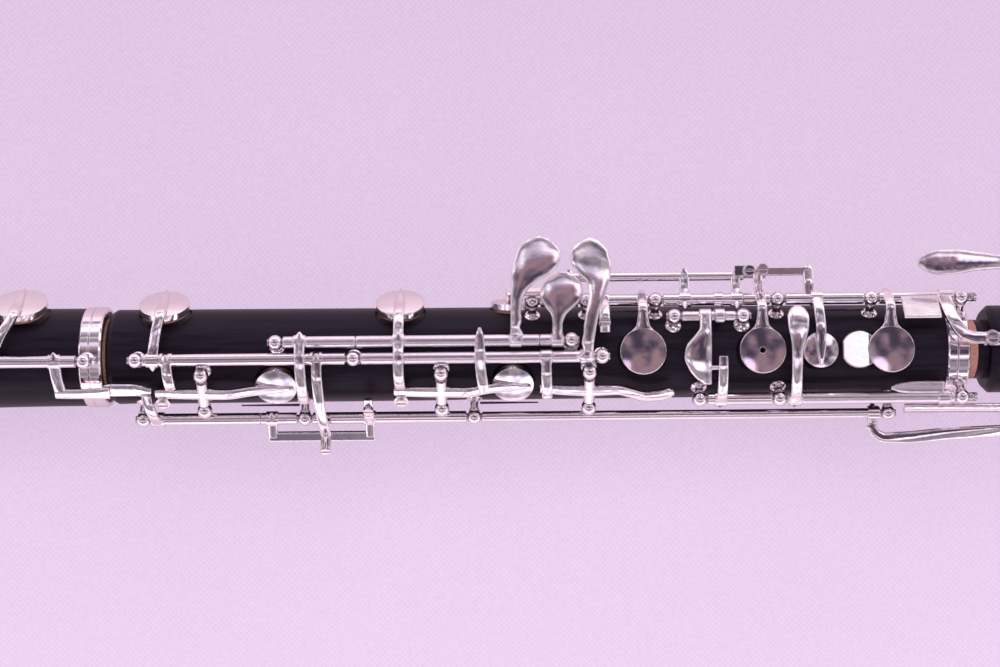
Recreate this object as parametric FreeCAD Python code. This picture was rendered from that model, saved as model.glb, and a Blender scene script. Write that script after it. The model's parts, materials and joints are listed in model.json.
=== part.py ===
import FreeCAD, Part
import math
import os
from FreeCAD import Vector

# An oboe with plate keywork, lying with its keys up. Millimetres throughout.
# +X runs along the bore from the bell's mouth (x = 0) to the reed well, +Z points up
# through the finger plates and +Y to the side of the right little finger's touches.
# "turn" is an angle round the bore in degrees: 0 is the top, positive leans towards +Y.

# ---------------------------------------------------------------- driving dimensions
BELL_LENGTH = 120.0
BELL_GAP = 0.7            # cork left showing where the bell meets the lower joint
SHOULDER = 0.6            # rounded shoulder below the lower joint's straight body
LOWER_LENGTH = 220.0
CORK_SHOWS = 3.0          # cork left showing where the upper joint meets the lower joint
UPPER_GAP = 5.9           # that cork and a short step of bare tenon wood
UPPER_LENGTH = 245.0

LOWER_X = BELL_LENGTH + BELL_GAP + SHOULDER
LOWER_TOP_X = LOWER_X + LOWER_LENGTH
UPPER_X = LOWER_TOP_X + UPPER_GAP
REED_X = UPPER_X + UPPER_LENGTH

BELL_MOUTH_R = 21.5
BELL_SOCKET_R = 12.7      # outside radius of the bell at its socket
LOWER_R = 12.3            # lower joint at its bell end
LOWER_TOP_R = 11.7
UPPER_R = 10.9
UPPER_TOP_R = 9.6
BORE_REED_R = 2.3
BORE_TENON_R = 4.6
BORE_BELL_R = 8.0
BORE_MOUTH_R = 18.4
REED_WELL_R = 3.45
REED_WELL_DEPTH = 22.0
LOWER_TENON_R = 9.6
LOWER_TENON_LENGTH = 17.0
UPPER_TENON_R = 7.1
UPPER_TENON_LENGTH = 16.0  # the part of the tenon inside the lower joint's socket
UPPER_TENON_END = LOWER_TOP_X - UPPER_TENON_LENGTH + 2.3
CORK = 0.6
SOCKET_CLEAR = 0.05

# ---------------------------------------------------------------- keywork sizes
STEEL_R = 0.95            # hinge rods
RUN = 0.05                # running clearance of a key tube on its rod
TUBE_R = 1.55
THIN_TUBE_R = 1.3
BALL_R = 1.95
SHANK_R = 1.1
END_PLAY = 0.12
TAIL_REACH = 2.75         # from a hinge line to the tip of a collar's tail
ARM_W = 2.7
ARM_T = 1.5
PAD_T = 2.2
CUP_WALL = 0.35
PAD_SHOWS = 0.9           # how far a pad stands out of its cup
SEAT_DEPTH = 1.0          # how far a tone hole's flat bed is cut below the wood
PAD_GAP = 0.04            # left between a closed pad and its seat


class Rod:
    """A hinge line parallel to the bore, placed by its turn and distance from the bore."""

    def __init__(self, turn, distance):
        self.turn = turn
        self.distance = distance
        self.y = distance * math.sin(math.radians(turn))
        self.z = distance * math.cos(math.radians(turn))

    def at(self, x):
        return Vector(x, self.y, self.z)


ROD_BELL = Rod(-3.0, 16.8)
ROD_TOP = Rod(-2.6, 16.6)         # low B and E flat tubes
ROD_SIDE = Rod(11.8, 16.65)       # low C and C sharp tubes
ROD_LONG = Rod(-71.0, 17.1)       # left hand links that reach the bell
ROD_STACK = Rod(53.3, 16.7)       # finger plates of the lower joint
ROD_F = Rod(34.2, 16.2)
ROD_TRILL = Rod(-48.5, 16.0)      # F link and G sharp touch
ROD_UPPER = Rod(53.0, 15.6)       # finger plates of the upper joint
ROD_UPPER_LEFT = Rod(-50.0, 15.4)  # G sharp key
ROD_LITTLE = Rod(-66.0, 17.4)     # left little finger levers
ROD_SPOON = Rod(80.0, 16.4)       # long trill key of the upper joint
ROD_OCTAVE = Rod(100.0, 14.4)     # side octave key

# how far each key turns, in degrees
CUP_OPEN = 6.0
BELL_OPEN = 6.0
PLATE_OPEN = 5.0
VENT_OPEN = 5.0
UPPER_OPEN = 5.0

# tangent hinges of the see-saw levers on the lower joint
LEVER_TURN = -36.0
LEVER_R = 15.8
LEVER_HALF = 5.7          # from the lever's middle to each pivot ball


# ---------------------------------------------------------------- geometry helpers
def polar(x, turn, r):
    a = math.radians(turn)
    return Vector(x, r * math.sin(a), r * math.cos(a))


def outward(turn):
    return polar(0, turn, 1)


def sideways(turn):
    """The unit vector round the bore, towards a larger turn."""
    a = math.radians(turn)
    return Vector(0, math.cos(a), -math.sin(a))


def rod_piece(rod, x0, x1, radius):
    return Part.makeCylinder(radius, x1 - x0, rod.at(x0), Vector(1, 0, 0))


def fuse(shapes):
    whole = shapes[0]
    for shape in shapes[1:]:
        whole = whole.fuse(shape)
    return whole


def outline(centre, side, up, width, thickness, corner=3.3, count=4):
    """A superellipse in four smooth quarters, the cross-section of an arm or touch."""
    def point(a):
        c, s = math.cos(a), math.sin(a)
        u = math.copysign(abs(c) ** (2 / corner), c) * width / 2
        v = math.copysign(abs(s) ** (2 / corner), s) * thickness / 2
        return centre + side * u + up * v
    edges = []
    for quarter in range(4):
        first = math.pi * (0.25 + 0.5 * quarter)
        angles = [first + 0.5 * math.pi * k / count for k in range(count + 1)]
        ends = [(point(a + 0.01) - point(a - 0.01)) * 50 for a in (angles[0], angles[-1])]
        curve = Part.BSplineCurve()
        curve.interpolate(Points=[point(a) for a in angles], InitialTangent=ends[0], FinalTangent=ends[1])
        edges.append(curve.toShape())
    return Part.Wire(edges)


def slopes(spans, values):
    """Tangents that carry a curve through the values without overshooting them."""
    secants = [(b - a) / h for a, b, h in zip(values, values[1:], spans)]
    inner = [2 * p * q / (p + q) if p * q > 0 else 0.0 for p, q in zip(secants, secants[1:])]
    return [secants[0]] + inner + [secants[-1]]


def smoothed(rows, spans, steps):
    """Rows of numbers filled in by a smooth curve, steps to each span."""
    tangents = [slopes(spans, column) for column in zip(*rows)]
    filled = []
    for i, h in enumerate(spans):
        for k in range(steps):
            t = k / steps
            a, b = 1 - 3 * t ** 2 + 2 * t ** 3, 3 * t ** 2 - 2 * t ** 3
            c, d = h * t * (1 - t) ** 2, -h * t ** 2 * (1 - t)
            filled.append([a * p + b * q + c * m[i] + d * m[i + 1]
                           for p, q, m in zip(rows[i], rows[i + 1], tangents)])
    return filled + [list(rows[-1])]


def blade(stations, corner=3.3, steps=3, fixed_side=None):
    """A smooth bar through stations of (centre, up, width, thickness)."""
    spans = [(b[0] - a[0]).Length for a, b in zip(stations, stations[1:])]
    rows = [(*centre, *up, width, thickness) for centre, up, width, thickness in stations]
    rows = smoothed(rows, spans, steps)
    centres = [Vector(*row[:3]) for row in rows]
    wires = []
    last = len(rows) - 1
    for i, row in enumerate(rows):
        along = centres[min(i + 1, last)] - centres[max(i - 1, 0)]
        along.normalize()
        side = fixed_side or along.cross(Vector(*row[3:6]))
        side.normalize()
        if fixed_side:
            along = Vector(*row[3:6]).cross(side)
            along.normalize()
        wires.append(outline(centres[i], side, side.cross(along), row[6], row[7], corner))
    solid = Part.makeLoft(wires, True, False, False, 3)
    if solid.Volume < 0:
        solid.reverse()
    return solid


def on_ring(x, turn, r, width=ARM_W, thickness=ARM_T):
    """A blade station that faces straight out from the bore."""
    return polar(x, turn, r), outward(turn), width, thickness


def at_xyz(x, y, z, width=ARM_W, thickness=ARM_T, lean=0.0):
    """A blade station whose face leans from straight up towards +Y."""
    return Vector(x, y, z), outward(lean), width, thickness


def collar(rod, x, width=ARM_W + 0.3):
    """The thickened band where an arm is brazed to its tube."""
    return rod_piece(rod, x - width / 2, x + width / 2, TUBE_R + 0.35)


def saddle(rod, x, width=ARM_W + 0.3, toward=180.0):
    """A collar with a pointed tail on the side facing away from its arm."""
    tip = rod.at(x) + outward(toward) * TAIL_REACH
    base = rod.at(x) + outward(toward) * (TUBE_R - 0.3)
    cone = Part.makeCone(width / 2, 0.25, (tip - base).Length, base, tip - base)
    return fuse([collar(rod, x, width), cone])


def key(rod, spans, pieces, opened=0.0, tube_r=TUBE_R):
    """Tubes and brazed pieces as one solid, bored for the hinge rod, turned to its rest place."""
    tubes = [rod_piece(rod, *span, tube_r) for span in spans]
    solid = fuse(tubes + pieces)
    for x0, x1 in spans:
        solid = solid.cut(rod_piece(rod, x0 - 0.2, x1 + 0.2, STEEL_R + RUN))
    return turned(solid, rod, opened)


def between(posts, i, j):
    """The length of tube that runs freely from post i to post j."""
    return posts[i] + BALL_R + END_PLAY, posts[j] - BALL_R - END_PLAY


def turned(shape, rod, degrees):
    if degrees:
        shape = shape.copy()
        shape.rotate(rod.at(0), Vector(1, 0, 0), degrees)
    return shape


def placed(shape, x, turn):
    """Moves a shape made upright over x = 0 to its place round the bore."""
    shape = shape.copy()
    shape.translate(Vector(x, 0, 0))
    shape.rotate(Vector(0, 0, 0), Vector(1, 0, 0), -turn)
    return shape


def ring_cut(x0, x1, outer, inner):
    solid = Part.makeCylinder(outer, x1 - x0, Vector(x0, 0, 0), Vector(1, 0, 0))
    return solid.cut(Part.makeCylinder(inner, x1 - x0, Vector(x0, 0, 0), Vector(1, 0, 0)))


def revolved(points):
    """Turns an outline of (x, r) points round the bore."""
    corners = [Vector(x, 0, r) for x, r in points]
    face = Part.Face(Part.makePolygon(corners + corners[:1]))
    return face.revolve(Vector(0, 0, 0), Vector(1, 0, 0), 360)


def spun(outer, inner):
    """Turns a wall between two smooth (x, r) curves, each a list of points."""
    def edge(points):
        corners = [Vector(x, 0, r) for x, r in points]
        if len(corners) == 2:
            return Part.makeLine(*corners)
        curve = Part.BSplineCurve()
        curve.interpolate(corners)
        return curve.toShape()
    a, b = edge(outer), edge(inner)
    ends = [
        Part.makeLine(Vector(outer[0][0], 0, outer[0][1]), Vector(inner[0][0], 0, inner[0][1])),
        Part.makeLine(Vector(outer[-1][0], 0, outer[-1][1]), Vector(inner[-1][0], 0, inner[-1][1])),
    ]
    wire = Part.Wire(Part.__sortEdges__([a, b] + ends))
    return Part.Face(wire).revolve(Vector(0, 0, 0), Vector(1, 0, 0), 360)


# ---------------------------------------------------------------- wooden joints
def bore_r(x):
    """Radius of the conical bore between the bell's socket and the reed well."""
    if x >= UPPER_X:
        share = (REED_X - REED_WELL_DEPTH - x) / (UPPER_LENGTH - REED_WELL_DEPTH)
        return BORE_REED_R + (BORE_TENON_R - BORE_REED_R) * share
    share = (UPPER_X - x) / (UPPER_X - LOWER_X)
    return BORE_TENON_R + (BORE_BELL_R - BORE_TENON_R) * share


def wood_r(x):
    """Outside radius of the wood, which the posts and tone holes follow."""
    if x > UPPER_X:
        return UPPER_R + (UPPER_TOP_R - UPPER_R) * (x - UPPER_X) / UPPER_LENGTH
    if x > LOWER_X:
        return LOWER_R + (LOWER_TOP_R - LOWER_R) * (x - LOWER_X) / LOWER_LENGTH
    share = (BELL_LENGTH - x) / BELL_LENGTH
    return BELL_SOCKET_R + (BELL_MOUTH_R - BELL_SOCKET_R) * share ** 2.6


RING_LENGTH = 5.6
RING_WALL = 0.85


def bell_wood():
    socket_x = BELL_LENGTH - LOWER_TENON_LENGTH - 0.5
    steps = [0.0, 12.0, 26.0, 45.0, 70.0, 92.0, BELL_LENGTH]
    outer = [(x, wood_r(x)) for x in steps]
    flare = [(0.0, BORE_MOUTH_R), (16.0, 15.2), (40.0, 11.8), (75.0, 9.6), (socket_x, 8.6)]
    wood = spun(outer, [(0.0, 0.5), (BELL_LENGTH, 0.5)])
    wood = wood.cut(spun(flare, [(0.0, 0.0), (socket_x, 0.0)]))
    wood = wood.cut(Part.makeCylinder(9.0, BELL_LENGTH, Vector(socket_x - 0.01, 0, 0), Vector(1, 0, 0)))
    socket = Part.makeCylinder(LOWER_TENON_R + CORK + SOCKET_CLEAR, 30, Vector(socket_x, 0, 0), Vector(1, 0, 0))
    step = ring_cut(BELL_LENGTH - RING_LENGTH, BELL_LENGTH + 1, 20, BELL_SOCKET_R - RING_WALL)
    return wood.cut(fuse([socket, step]))


def lower_wood():
    face_x = LOWER_X - SHOULDER
    socket_x = LOWER_TOP_X - UPPER_TENON_LENGTH - 0.5
    ring_r = LOWER_TOP_R - RING_WALL
    tenon_end = face_x - LOWER_TENON_LENGTH
    outside = [
        (tenon_end, LOWER_TENON_R), (face_x, LOWER_TENON_R), (face_x, LOWER_R - 2.0), (face_x + 0.3, LOWER_R - 1.4),
        (LOWER_X + 0.1, LOWER_R - 0.7), (LOWER_X + 1.3, LOWER_R), (LOWER_TOP_X - RING_LENGTH, wood_r(LOWER_TOP_X - RING_LENGTH)),
        (LOWER_TOP_X - RING_LENGTH, ring_r), (LOWER_TOP_X, ring_r),
    ]
    socket_r = UPPER_TENON_R + CORK + SOCKET_CLEAR
    inside = [
        (LOWER_TOP_X, socket_r), (socket_x, socket_r), (socket_x, bore_r(socket_x)),
        (tenon_end, bore_r(tenon_end)),
    ]
    return revolved(outside + inside)


def upper_wood():
    tenon_end = UPPER_TENON_END
    cork_end = LOWER_TOP_X + CORK_SHOWS
    step_r = UPPER_TENON_R + CORK - 0.05
    well_x = REED_X - REED_WELL_DEPTH
    liner_r = REED_WELL_R + 0.5
    bulge = UPPER_R + 0.45
    head = REED_X - 30.0
    outside = [
        (tenon_end, UPPER_TENON_R), (cork_end, UPPER_TENON_R), (cork_end, step_r), (UPPER_X, step_r),
        (UPPER_X, bulge - 1.4),
        (UPPER_X + 1.4, bulge), (UPPER_X + 7.5, bulge), (UPPER_X + 9.5, wood_r(UPPER_X + 9.5)),
        (head, wood_r(head)), (head + 8.0, 8.7), (head + 16.0, 9.0), (head + 21.0, 10.6),
        (head + 24.0, 11.6), (REED_X - 3.0, 11.6), (REED_X - 3.0, 10.2), (REED_X, 10.2),
    ]
    inside = [
        (REED_X, liner_r), (well_x, liner_r), (well_x, BORE_REED_R), (tenon_end, bore_r(tenon_end)),
    ]
    return revolved(outside + inside)


def socket_ring(x, length, inner):
    """A silver socket ring of two bands with a fine groove between them."""
    outer = inner + RING_WALL + 0.3
    mid = x + length * 0.45
    profile = [
        (x, inner), (x, outer - 0.3), (x + 0.4, outer), (mid - 0.2, outer), (mid, outer - 0.35),
        (mid + 0.2, outer), (x + length - 0.5, outer), (x + length, outer - 0.4), (x + length, inner),
    ]
    return revolved(profile)


def tone_hole(x, turn, hole_r, bed_r, seat_r):
    """What is cut from the wood: a drilled hole and a flat bed for the pad."""
    hole = Part.makeCylinder(hole_r, 30, Vector(0, 0, 0))
    bed = Part.makeCylinder(bed_r, 12, Vector(0, 0, seat_r))
    return placed(fuse([hole, bed]), x, turn)


# ---------------------------------------------------------------- keywork pieces
def shank_end(x):
    """How far in a post's screwed shank reaches: 4 mm, or just short of a tenon socket."""
    if LOWER_TOP_X - UPPER_TENON_LENGTH - 2.0 < x < UPPER_X:
        return UPPER_TENON_R + CORK + 0.5
    if BELL_LENGTH - LOWER_TENON_LENGTH - 2.0 < x < LOWER_X:
        return LOWER_TENON_R + CORK + 0.5
    return wood_r(x) - 4.0


def post(x, turn, reach, hole=None):
    """A turned ball post: shank in the wood, foot, waisted stem and drilled ball."""
    foot = wood_r(x)
    profile = [
        (0.0, shank_end(x)), (SHANK_R, shank_end(x)), (SHANK_R, foot - 0.9), (2.05, foot - 0.9),
        (2.05, foot + 0.25), (1.75, foot + 0.55), (1.2, foot + 0.8), (1.05, foot + 1.3),
        (1.1, reach - BALL_R - 0.2), (1.45, reach - BALL_R + 0.15), (1.45, reach - BALL_R + 0.5),
        (0.0, reach - BALL_R + 0.5),
    ]
    corners = [Vector(r, 0, z) for r, z in profile]
    face = Part.Face(Part.makePolygon(corners + corners[:1]))
    stem = face.revolve(Vector(0, 0, 0), Vector(0, 0, 1), 360)
    shape = fuse([stem, Part.makeSphere(BALL_R, Vector(0, 0, reach))])
    shape = placed(shape, x, turn)
    if hole is None:
        centre = polar(x, turn, reach)
        hole = Part.makeCylinder(STEEL_R + 0.01, 8, centre - Vector(4, 0, 0), Vector(1, 0, 0))
    return shape.cut(hole)


def rod_posts(rod, xs):
    return [post(x, rod.turn, rod.distance) for x in xs]


def pad(x, turn, radius, seat_r):
    """A closed pad with a slightly rounded lower edge."""
    r = radius - CUP_WALL - 0.02
    disc = Part.makeCylinder(r, PAD_T, Vector(0, 0, seat_r + PAD_GAP))
    low_rim = [e for e in disc.Edges if abs(e.BoundBox.ZMax - seat_r - PAD_GAP) < 1e-6 and e.Length > r]
    return placed(disc.makeFillet(0.35, low_rim), x, turn)


def cup_height(seat_r):
    """Distance from the bore to the middle of a pad cup's crown."""
    return seat_r + PAD_GAP + PAD_T + CUP_WALL + 0.55


def cup(x, turn, radius, seat_r):
    """A thin cup with a low domed crown, open below where its pad sits."""
    base = seat_r + PAD_GAP + PAD_SHOWS
    rim = seat_r + PAD_GAP + PAD_T + CUP_WALL
    crown = 0.55
    sphere_r = (radius ** 2 + crown ** 2) / (2 * crown)
    wall = Part.makeCylinder(radius, rim + crown + 0.5 - base, Vector(0, 0, base))
    dome = Part.makeSphere(sphere_r, Vector(0, 0, rim + crown - sphere_r))
    hollow = Part.makeCylinder(radius - CUP_WALL, rim - CUP_WALL - base, Vector(0, 0, base))
    return placed(wall.common(dome).cut(hollow), x, turn)


def cup_station(x, turn, across, height, width=ARM_W, thickness=ARM_T):
    """A blade station over a cup: across runs round the bore from the cup's middle."""
    return (outward(turn) * height + sideways(turn) * across + Vector(x, 0, 0), outward(turn), width, thickness)


def cup_arm(rod, rod_x, x, turn, radius, seat_r):
    """An arm from a tube over to a cup's far edge, tapering to a point on its crown."""
    high = cup_height(seat_r) + 0.25
    side = 1.0 if rod.turn > turn else -1.0
    start = rod.at(rod_x) + outward(rod.turn) * 0.7
    near = cup_station(x, turn, side * (radius + 0.4), high + 0.3)
    lift = (start + near[0]) * 0.5
    lift = lift + outward((rod.turn + turn) / 2) * 0.9
    return blade([
        (start, outward(rod.turn), ARM_W + 0.2, ARM_T + 0.4),
        (lift, outward((rod.turn + turn) / 2), ARM_W, ARM_T + 0.1),
        near,
        cup_station(x, turn, side * radius * 0.35, high, ARM_W * 0.95),
        cup_station(x, turn, -side * radius * 0.35, high - 0.1, ARM_W * 0.6),
        cup_station(x, turn, -side * radius * 0.9, high - 0.4, 0.5, ARM_T * 0.7),
    ])


def finger_plate(rod, x, radius, seat_r, tail=3.0, vent=0.0):
    """A dished finger plate with its spatula arm; the tail stands past the tube."""
    base = seat_r + PAD_GAP + PAD_T
    disc = Part.makeCylinder(radius, 1.3, Vector(0, 0, base))
    rims = [e for e in disc.Edges if e.Length > radius and e.Closed]
    disc = disc.makeFillet(0.4, rims)
    dish_r = 34.0
    disc = disc.cut(Part.makeSphere(dish_r, Vector(0, 0, base + 0.75 + dish_r)))
    disc = placed(disc, x, 0)
    if vent:
        disc = disc.cut(placed(Part.makeCylinder(vent, 8, Vector(0, 0, base - 3)), x, 0))
    edge = base + 0.75
    past = rod.at(x) + sideways(rod.turn) * tail + outward(rod.turn) * 0.6
    arm = blade([
        (past, outward(rod.turn + 8), 1.6, 1.2),
        (rod.at(x) + outward(rod.turn) * 0.9, outward(rod.turn), 2.6, 1.6),
        (Vector(x, (rod.y + radius) / 2 + 0.8, edge + 0.45), outward(18), 2.5, 1.3),
        (Vector(x, radius + 0.6, edge + 0.05), outward(4), 3.6, 1.1),
        (Vector(x, radius - 1.2, edge - 0.15), outward(0), 7.0, 0.8),
    ], corner=2.4)
    return fuse([disc, arm])


def plate_pad(x, radius, seat_r, vent=0.0):
    disc = Part.makeCylinder(radius - 0.6, PAD_T, Vector(0, 0, seat_r + PAD_GAP))
    if vent:
        disc = disc.cut(Part.makeCylinder(vent, 8, Vector(0, 0, seat_r - 1)))
    return placed(disc, x, 0)


def spoon(stations, corner=2.4):
    """A domed touch from (y, left x, right x, z, thickness, lean) stations running along y."""
    rows = [at_xyz((a + b) / 2, y, z, b - a, t, lean) for y, a, b, z, t, lean in stations]
    return blade(rows, corner, fixed_side=Vector(1, 0, 0))


def stub(rod, x, height, width=2.5):
    """A short upright block brazed to a tube, which carries a bar running along it."""
    low = rod.distance + 0.6
    block = Part.makeBox(2.4, width, height - 0.6, Vector(-1.2, -width / 2, low))
    sides = [e for e in block.Edges if abs(e.BoundBox.ZLength) > 0.1]
    return placed(block.makeFillet(0.5, sides), x, rod.turn)


def along_bar(rod, x, way, height, width=ARM_W, thickness=ARM_T):
    """Blade stations that start just behind a stub and run along the rod over it."""
    out = outward(rod.turn)
    def station(ahead, share):
        return rod.at(x + way * ahead) + out * height, out, width * share, thickness * (0.5 + 0.5 * share)
    return [station(-2.4, 0.35), station(-1.5, 0.9), station(0.5, 1.0), station(3.0, 1.0)]


def link_arm(rod, x, stops, tip=180.0):
    """An arm brazed to a tube at x that runs through (x, turn, r) stops."""
    start = (rod.at(x) + outward(rod.turn) * 0.8, outward(rod.turn), ARM_W, ARM_T + 0.3)
    return fuse([blade([start] + [on_ring(*s) for s in stops]), saddle(rod, x, toward=tip)])


def slotted_screw(centre, direction, length=3.4, head_r=1.35):
    """A small cheese-head adjusting screw with a slot, its head towards direction."""
    d = Vector(direction)
    d.normalize()
    shank = Part.makeCylinder(0.6, length, centre - d * length, d)
    head = Part.makeCylinder(head_r, 1.0, centre, d)
    side = d.cross(Vector(1, 0, 0))
    side.normalize()
    slot = Part.makeBox(4 * head_r, 0.4, 0.5)
    slot.translate(Vector(-2 * head_r, -0.2, 0.6))
    frame = FreeCAD.Placement(centre, FreeCAD.Rotation(Vector(1, 0, 0), side, d, "ZXY"))
    slot.Placement = frame.multiply(slot.Placement)
    return fuse([shank, head]).cut(slot)


def lug(centre, axis, radius=1.9, length=2.6):
    """The short barrel that holds an adjusting screw."""
    d = Vector(axis)
    d.normalize()
    return Part.makeCylinder(radius, length, centre - d * length, d)


# ---------------------------------------------------------------- places along the joints
BELL_CUP_X = BELL_LENGTH - 21.5
BELL_ARM_X = BELL_LENGTH - 27.0
BELL_POSTS = [BELL_LENGTH - 48.0, BELL_LENGTH - 3.4]

LOW_B_X = LOWER_X + 14.2
LOW_C_X = LOWER_X + 74.7
TOP_POSTS = [LOWER_X + 8.3, LOWER_X + 63.2, LOWER_X + 126.0]
SIDE_POSTS = [LOWER_X + 43.6, LOWER_X + 118.3]
LONG_POSTS = [LOWER_X + 8.3, LOWER_X + 49.9, LOWER_X + 93.5, LOWER_X + 200.0]
STACK_POSTS = [LOWER_X + 108.6, LOWER_X + 122.4, LOWER_X + 140.0, LOWER_X + 171.2,
               LOWER_X + 195.1, LOWER_X + 218.0]
F_POSTS = [LOWER_X + 144.5, LOWER_X + 162.0]
TRILL_POSTS = [LOWER_X + 151.1, LOWER_X + 171.4, LOWER_X + 217.9]

C_SHARP_LEVER_X = LOWER_X + 24.7
E_FLAT_LEVER_X = LOWER_X + 85.3
TRILL_LEVER_X = LOWER_X + 122.8
C_SHARP_CUP_X = LOWER_X + 43.1
E_FLAT_CUP_X = LOWER_X + 103.5
F_CUP_X = LOWER_X + 103.2
D_X = LOWER_X + 136.5
E_X = LOWER_X + 166.7
F_SHARP_X = LOWER_X + 199.2
E_VENT_X = LOWER_X + 181.4
PEARL_X = LOWER_X + 190.8

BELL_CUP_R = 6.9
LOW_B_R = 6.4
LOW_C_R = 6.2
LEVER_CUP_R = 5.3
F_CUP_R = 5.2
PLATE_R = 5.9
E_VENT_R = 4.5
SIDE_CUP_TURN = 65.0
F_CUP_TURN = 81.0


def seat(x):
    return wood_r(x) - SEAT_DEPTH


# each tone hole: the joint it is in, x, turn, hole radius, pad radius
TONE_HOLES = [
    ("bell", BELL_CUP_X, SIDE_CUP_TURN, 4.6, BELL_CUP_R),
    ("lower", LOW_B_X, SIDE_CUP_TURN, 4.2, LOW_B_R),
    ("lower", LOW_C_X, SIDE_CUP_TURN, 4.0, LOW_C_R),
    ("lower", C_SHARP_CUP_X, LEVER_TURN, 3.2, LEVER_CUP_R),
    ("lower", E_FLAT_CUP_X, LEVER_TURN, 3.2, LEVER_CUP_R),
    ("lower", F_CUP_X, F_CUP_TURN, 3.0, F_CUP_R),
    ("lower", D_X, 0.0, 3.3, PLATE_R),
    ("lower", E_X, 0.0, 3.1, PLATE_R),
    ("lower", F_SHARP_X, 0.0, 2.9, PLATE_R),
    ("lower", E_VENT_X, 0.0, 1.8, E_VENT_R),
]


# ---------------------------------------------------------------- bell and lower joint keys
def bell_key():
    rod = ROD_BELL
    seat_r = seat(BELL_CUP_X)
    bridge_y = -9.2
    pieces = [
        cup(BELL_CUP_X, SIDE_CUP_TURN, BELL_CUP_R, seat_r),
        cup_arm(rod, BELL_ARM_X, BELL_CUP_X, SIDE_CUP_TURN, BELL_CUP_R, seat_r),
        saddle(rod, BELL_ARM_X, toward=-90),
        saddle(rod, BELL_LENGTH - 10.6, toward=60),
        blade([
            at_xyz(BELL_LENGTH - 10.6, rod.y - 0.2, rod.z + 0.5, 3.2, 2.0, -10),
            at_xyz(BELL_LENGTH - 10.3, -4.6, 16.6, 2.9, 1.8, -15),
            at_xyz(BELL_LENGTH - 9.9, -7.6, 15.6, 2.9, 1.8, -25),
            at_xyz(BELL_LENGTH - 9.7, bridge_y, 14.9, 2.9, 1.8, -30),
        ]),
        blade([
            at_xyz(BELL_LENGTH - 11.0, bridge_y, 14.9, 2.6, 1.8, -30),
            at_xyz(BELL_LENGTH - 6.0, bridge_y - 0.1, 15.0, 2.7, 1.6, -30),
            at_xyz(BELL_LENGTH - 1.0, bridge_y - 0.1, 15.0, 3.0, 1.4, -30),
            at_xyz(BELL_LENGTH + 2.6, bridge_y, 14.9, 3.4, 1.3, -30),
        ]),
    ]
    spans = [between(BELL_POSTS, 0, 1)]
    return key(rod, spans, pieces, BELL_OPEN)


def low_b_key():
    rod = ROD_TOP
    seat_r = seat(LOW_B_X)
    arm_x = LOW_B_X - 1.5
    tip_x = LOWER_X + 55.3
    lean = outward(-50)
    screw_at = Vector(tip_x, -24.0, 8.1)
    screw = fuse([lug(screw_at, lean, 1.35, 3.6), slotted_screw(screw_at, lean, 3.9, 1.25)])
    pieces = [
        cup(LOW_B_X, SIDE_CUP_TURN, LOW_B_R, seat_r),
        cup_arm(rod, arm_x, LOW_B_X, SIDE_CUP_TURN, LOW_B_R, seat_r),
        saddle(rod, arm_x, toward=-90),
        link_arm(rod, LOW_B_X + 2.0, [
            (LOW_B_X + 2.3, -14, 18.2), (LOW_B_X + 2.6, -22, 18.3, 2.7, 1.3), (LOW_B_X + 2.8, -27, 18.1, 2.6, 1.1),
        ], tip=30),
        link_arm(rod, LOWER_X + 54.0, [
            (LOWER_X + 54.1, -16, 18.7), (LOWER_X + 54.4, -34, 19.9), (LOWER_X + 54.8, -50, 21.2),
            (LOWER_X + 55.2, -60, 22.3, 2.7, 1.5), (tip_x, -68.5, 22.9, 2.6, 1.4),
        ], tip=30),
        turned(screw, rod, -CUP_OPEN),
    ]
    spans = [between(TOP_POSTS, 0, 1)]
    return key(rod, spans, pieces, CUP_OPEN)


def low_c_key():
    rod = ROD_SIDE
    seat_r = seat(LOW_C_X)
    touch_x = LOWER_X + 104.2
    pieces = [
        cup(LOW_C_X, SIDE_CUP_TURN, LOW_C_R, seat_r),
        cup_arm(rod, LOW_C_X, LOW_C_X, SIDE_CUP_TURN, LOW_C_R, seat_r),
        link_arm(rod, LOW_C_X, [
            (LOW_C_X, -2, 19.7), (LOW_C_X, -12, 19.7), (LOW_C_X + 0.1, -21, 19.0), (LOW_C_X + 0.2, -27, 18.2, 2.6, 1.2),
        ], tip=60),
        collar(rod, touch_x),
        spoon([
            (rod.y - 0.4, touch_x - 1.4, touch_x + 1.4, 17.7, 1.7, 0),
            (8.0, touch_x - 1.35, touch_x + 1.45, 18.0, 1.7, 4),
            (13.5, touch_x - 1.2, touch_x + 1.8, 17.7, 1.7, 8),
            (16.3, touch_x - 1.1, touch_x + 3.2, 17.3, 1.7, 10),
            (18.4, touch_x - 1.0, touch_x + 5.8, 16.9, 1.7, 12),
            (20.6, touch_x - 0.9, touch_x + 9.2, 16.5, 1.7, 14),
            (23.1, touch_x - 0.4, touch_x + 11.3, 15.8, 1.7, 16),
            (25.6, touch_x + 0.4, touch_x + 11.5, 15.0, 1.6, 19),
            (27.6, touch_x + 1.8, touch_x + 10.1, 14.3, 1.5, 21),
            (28.9, touch_x + 3.9, touch_x + 8.1, 13.9, 1.2, 22),
            (29.4, touch_x + 5.3, touch_x + 6.7, 13.7, 0.9, 22),
        ]),
    ]
    spans = [(LOWER_X + 64.0, LOWER_X + 110.2)]
    return key(rod, spans, pieces, CUP_OPEN)


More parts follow.
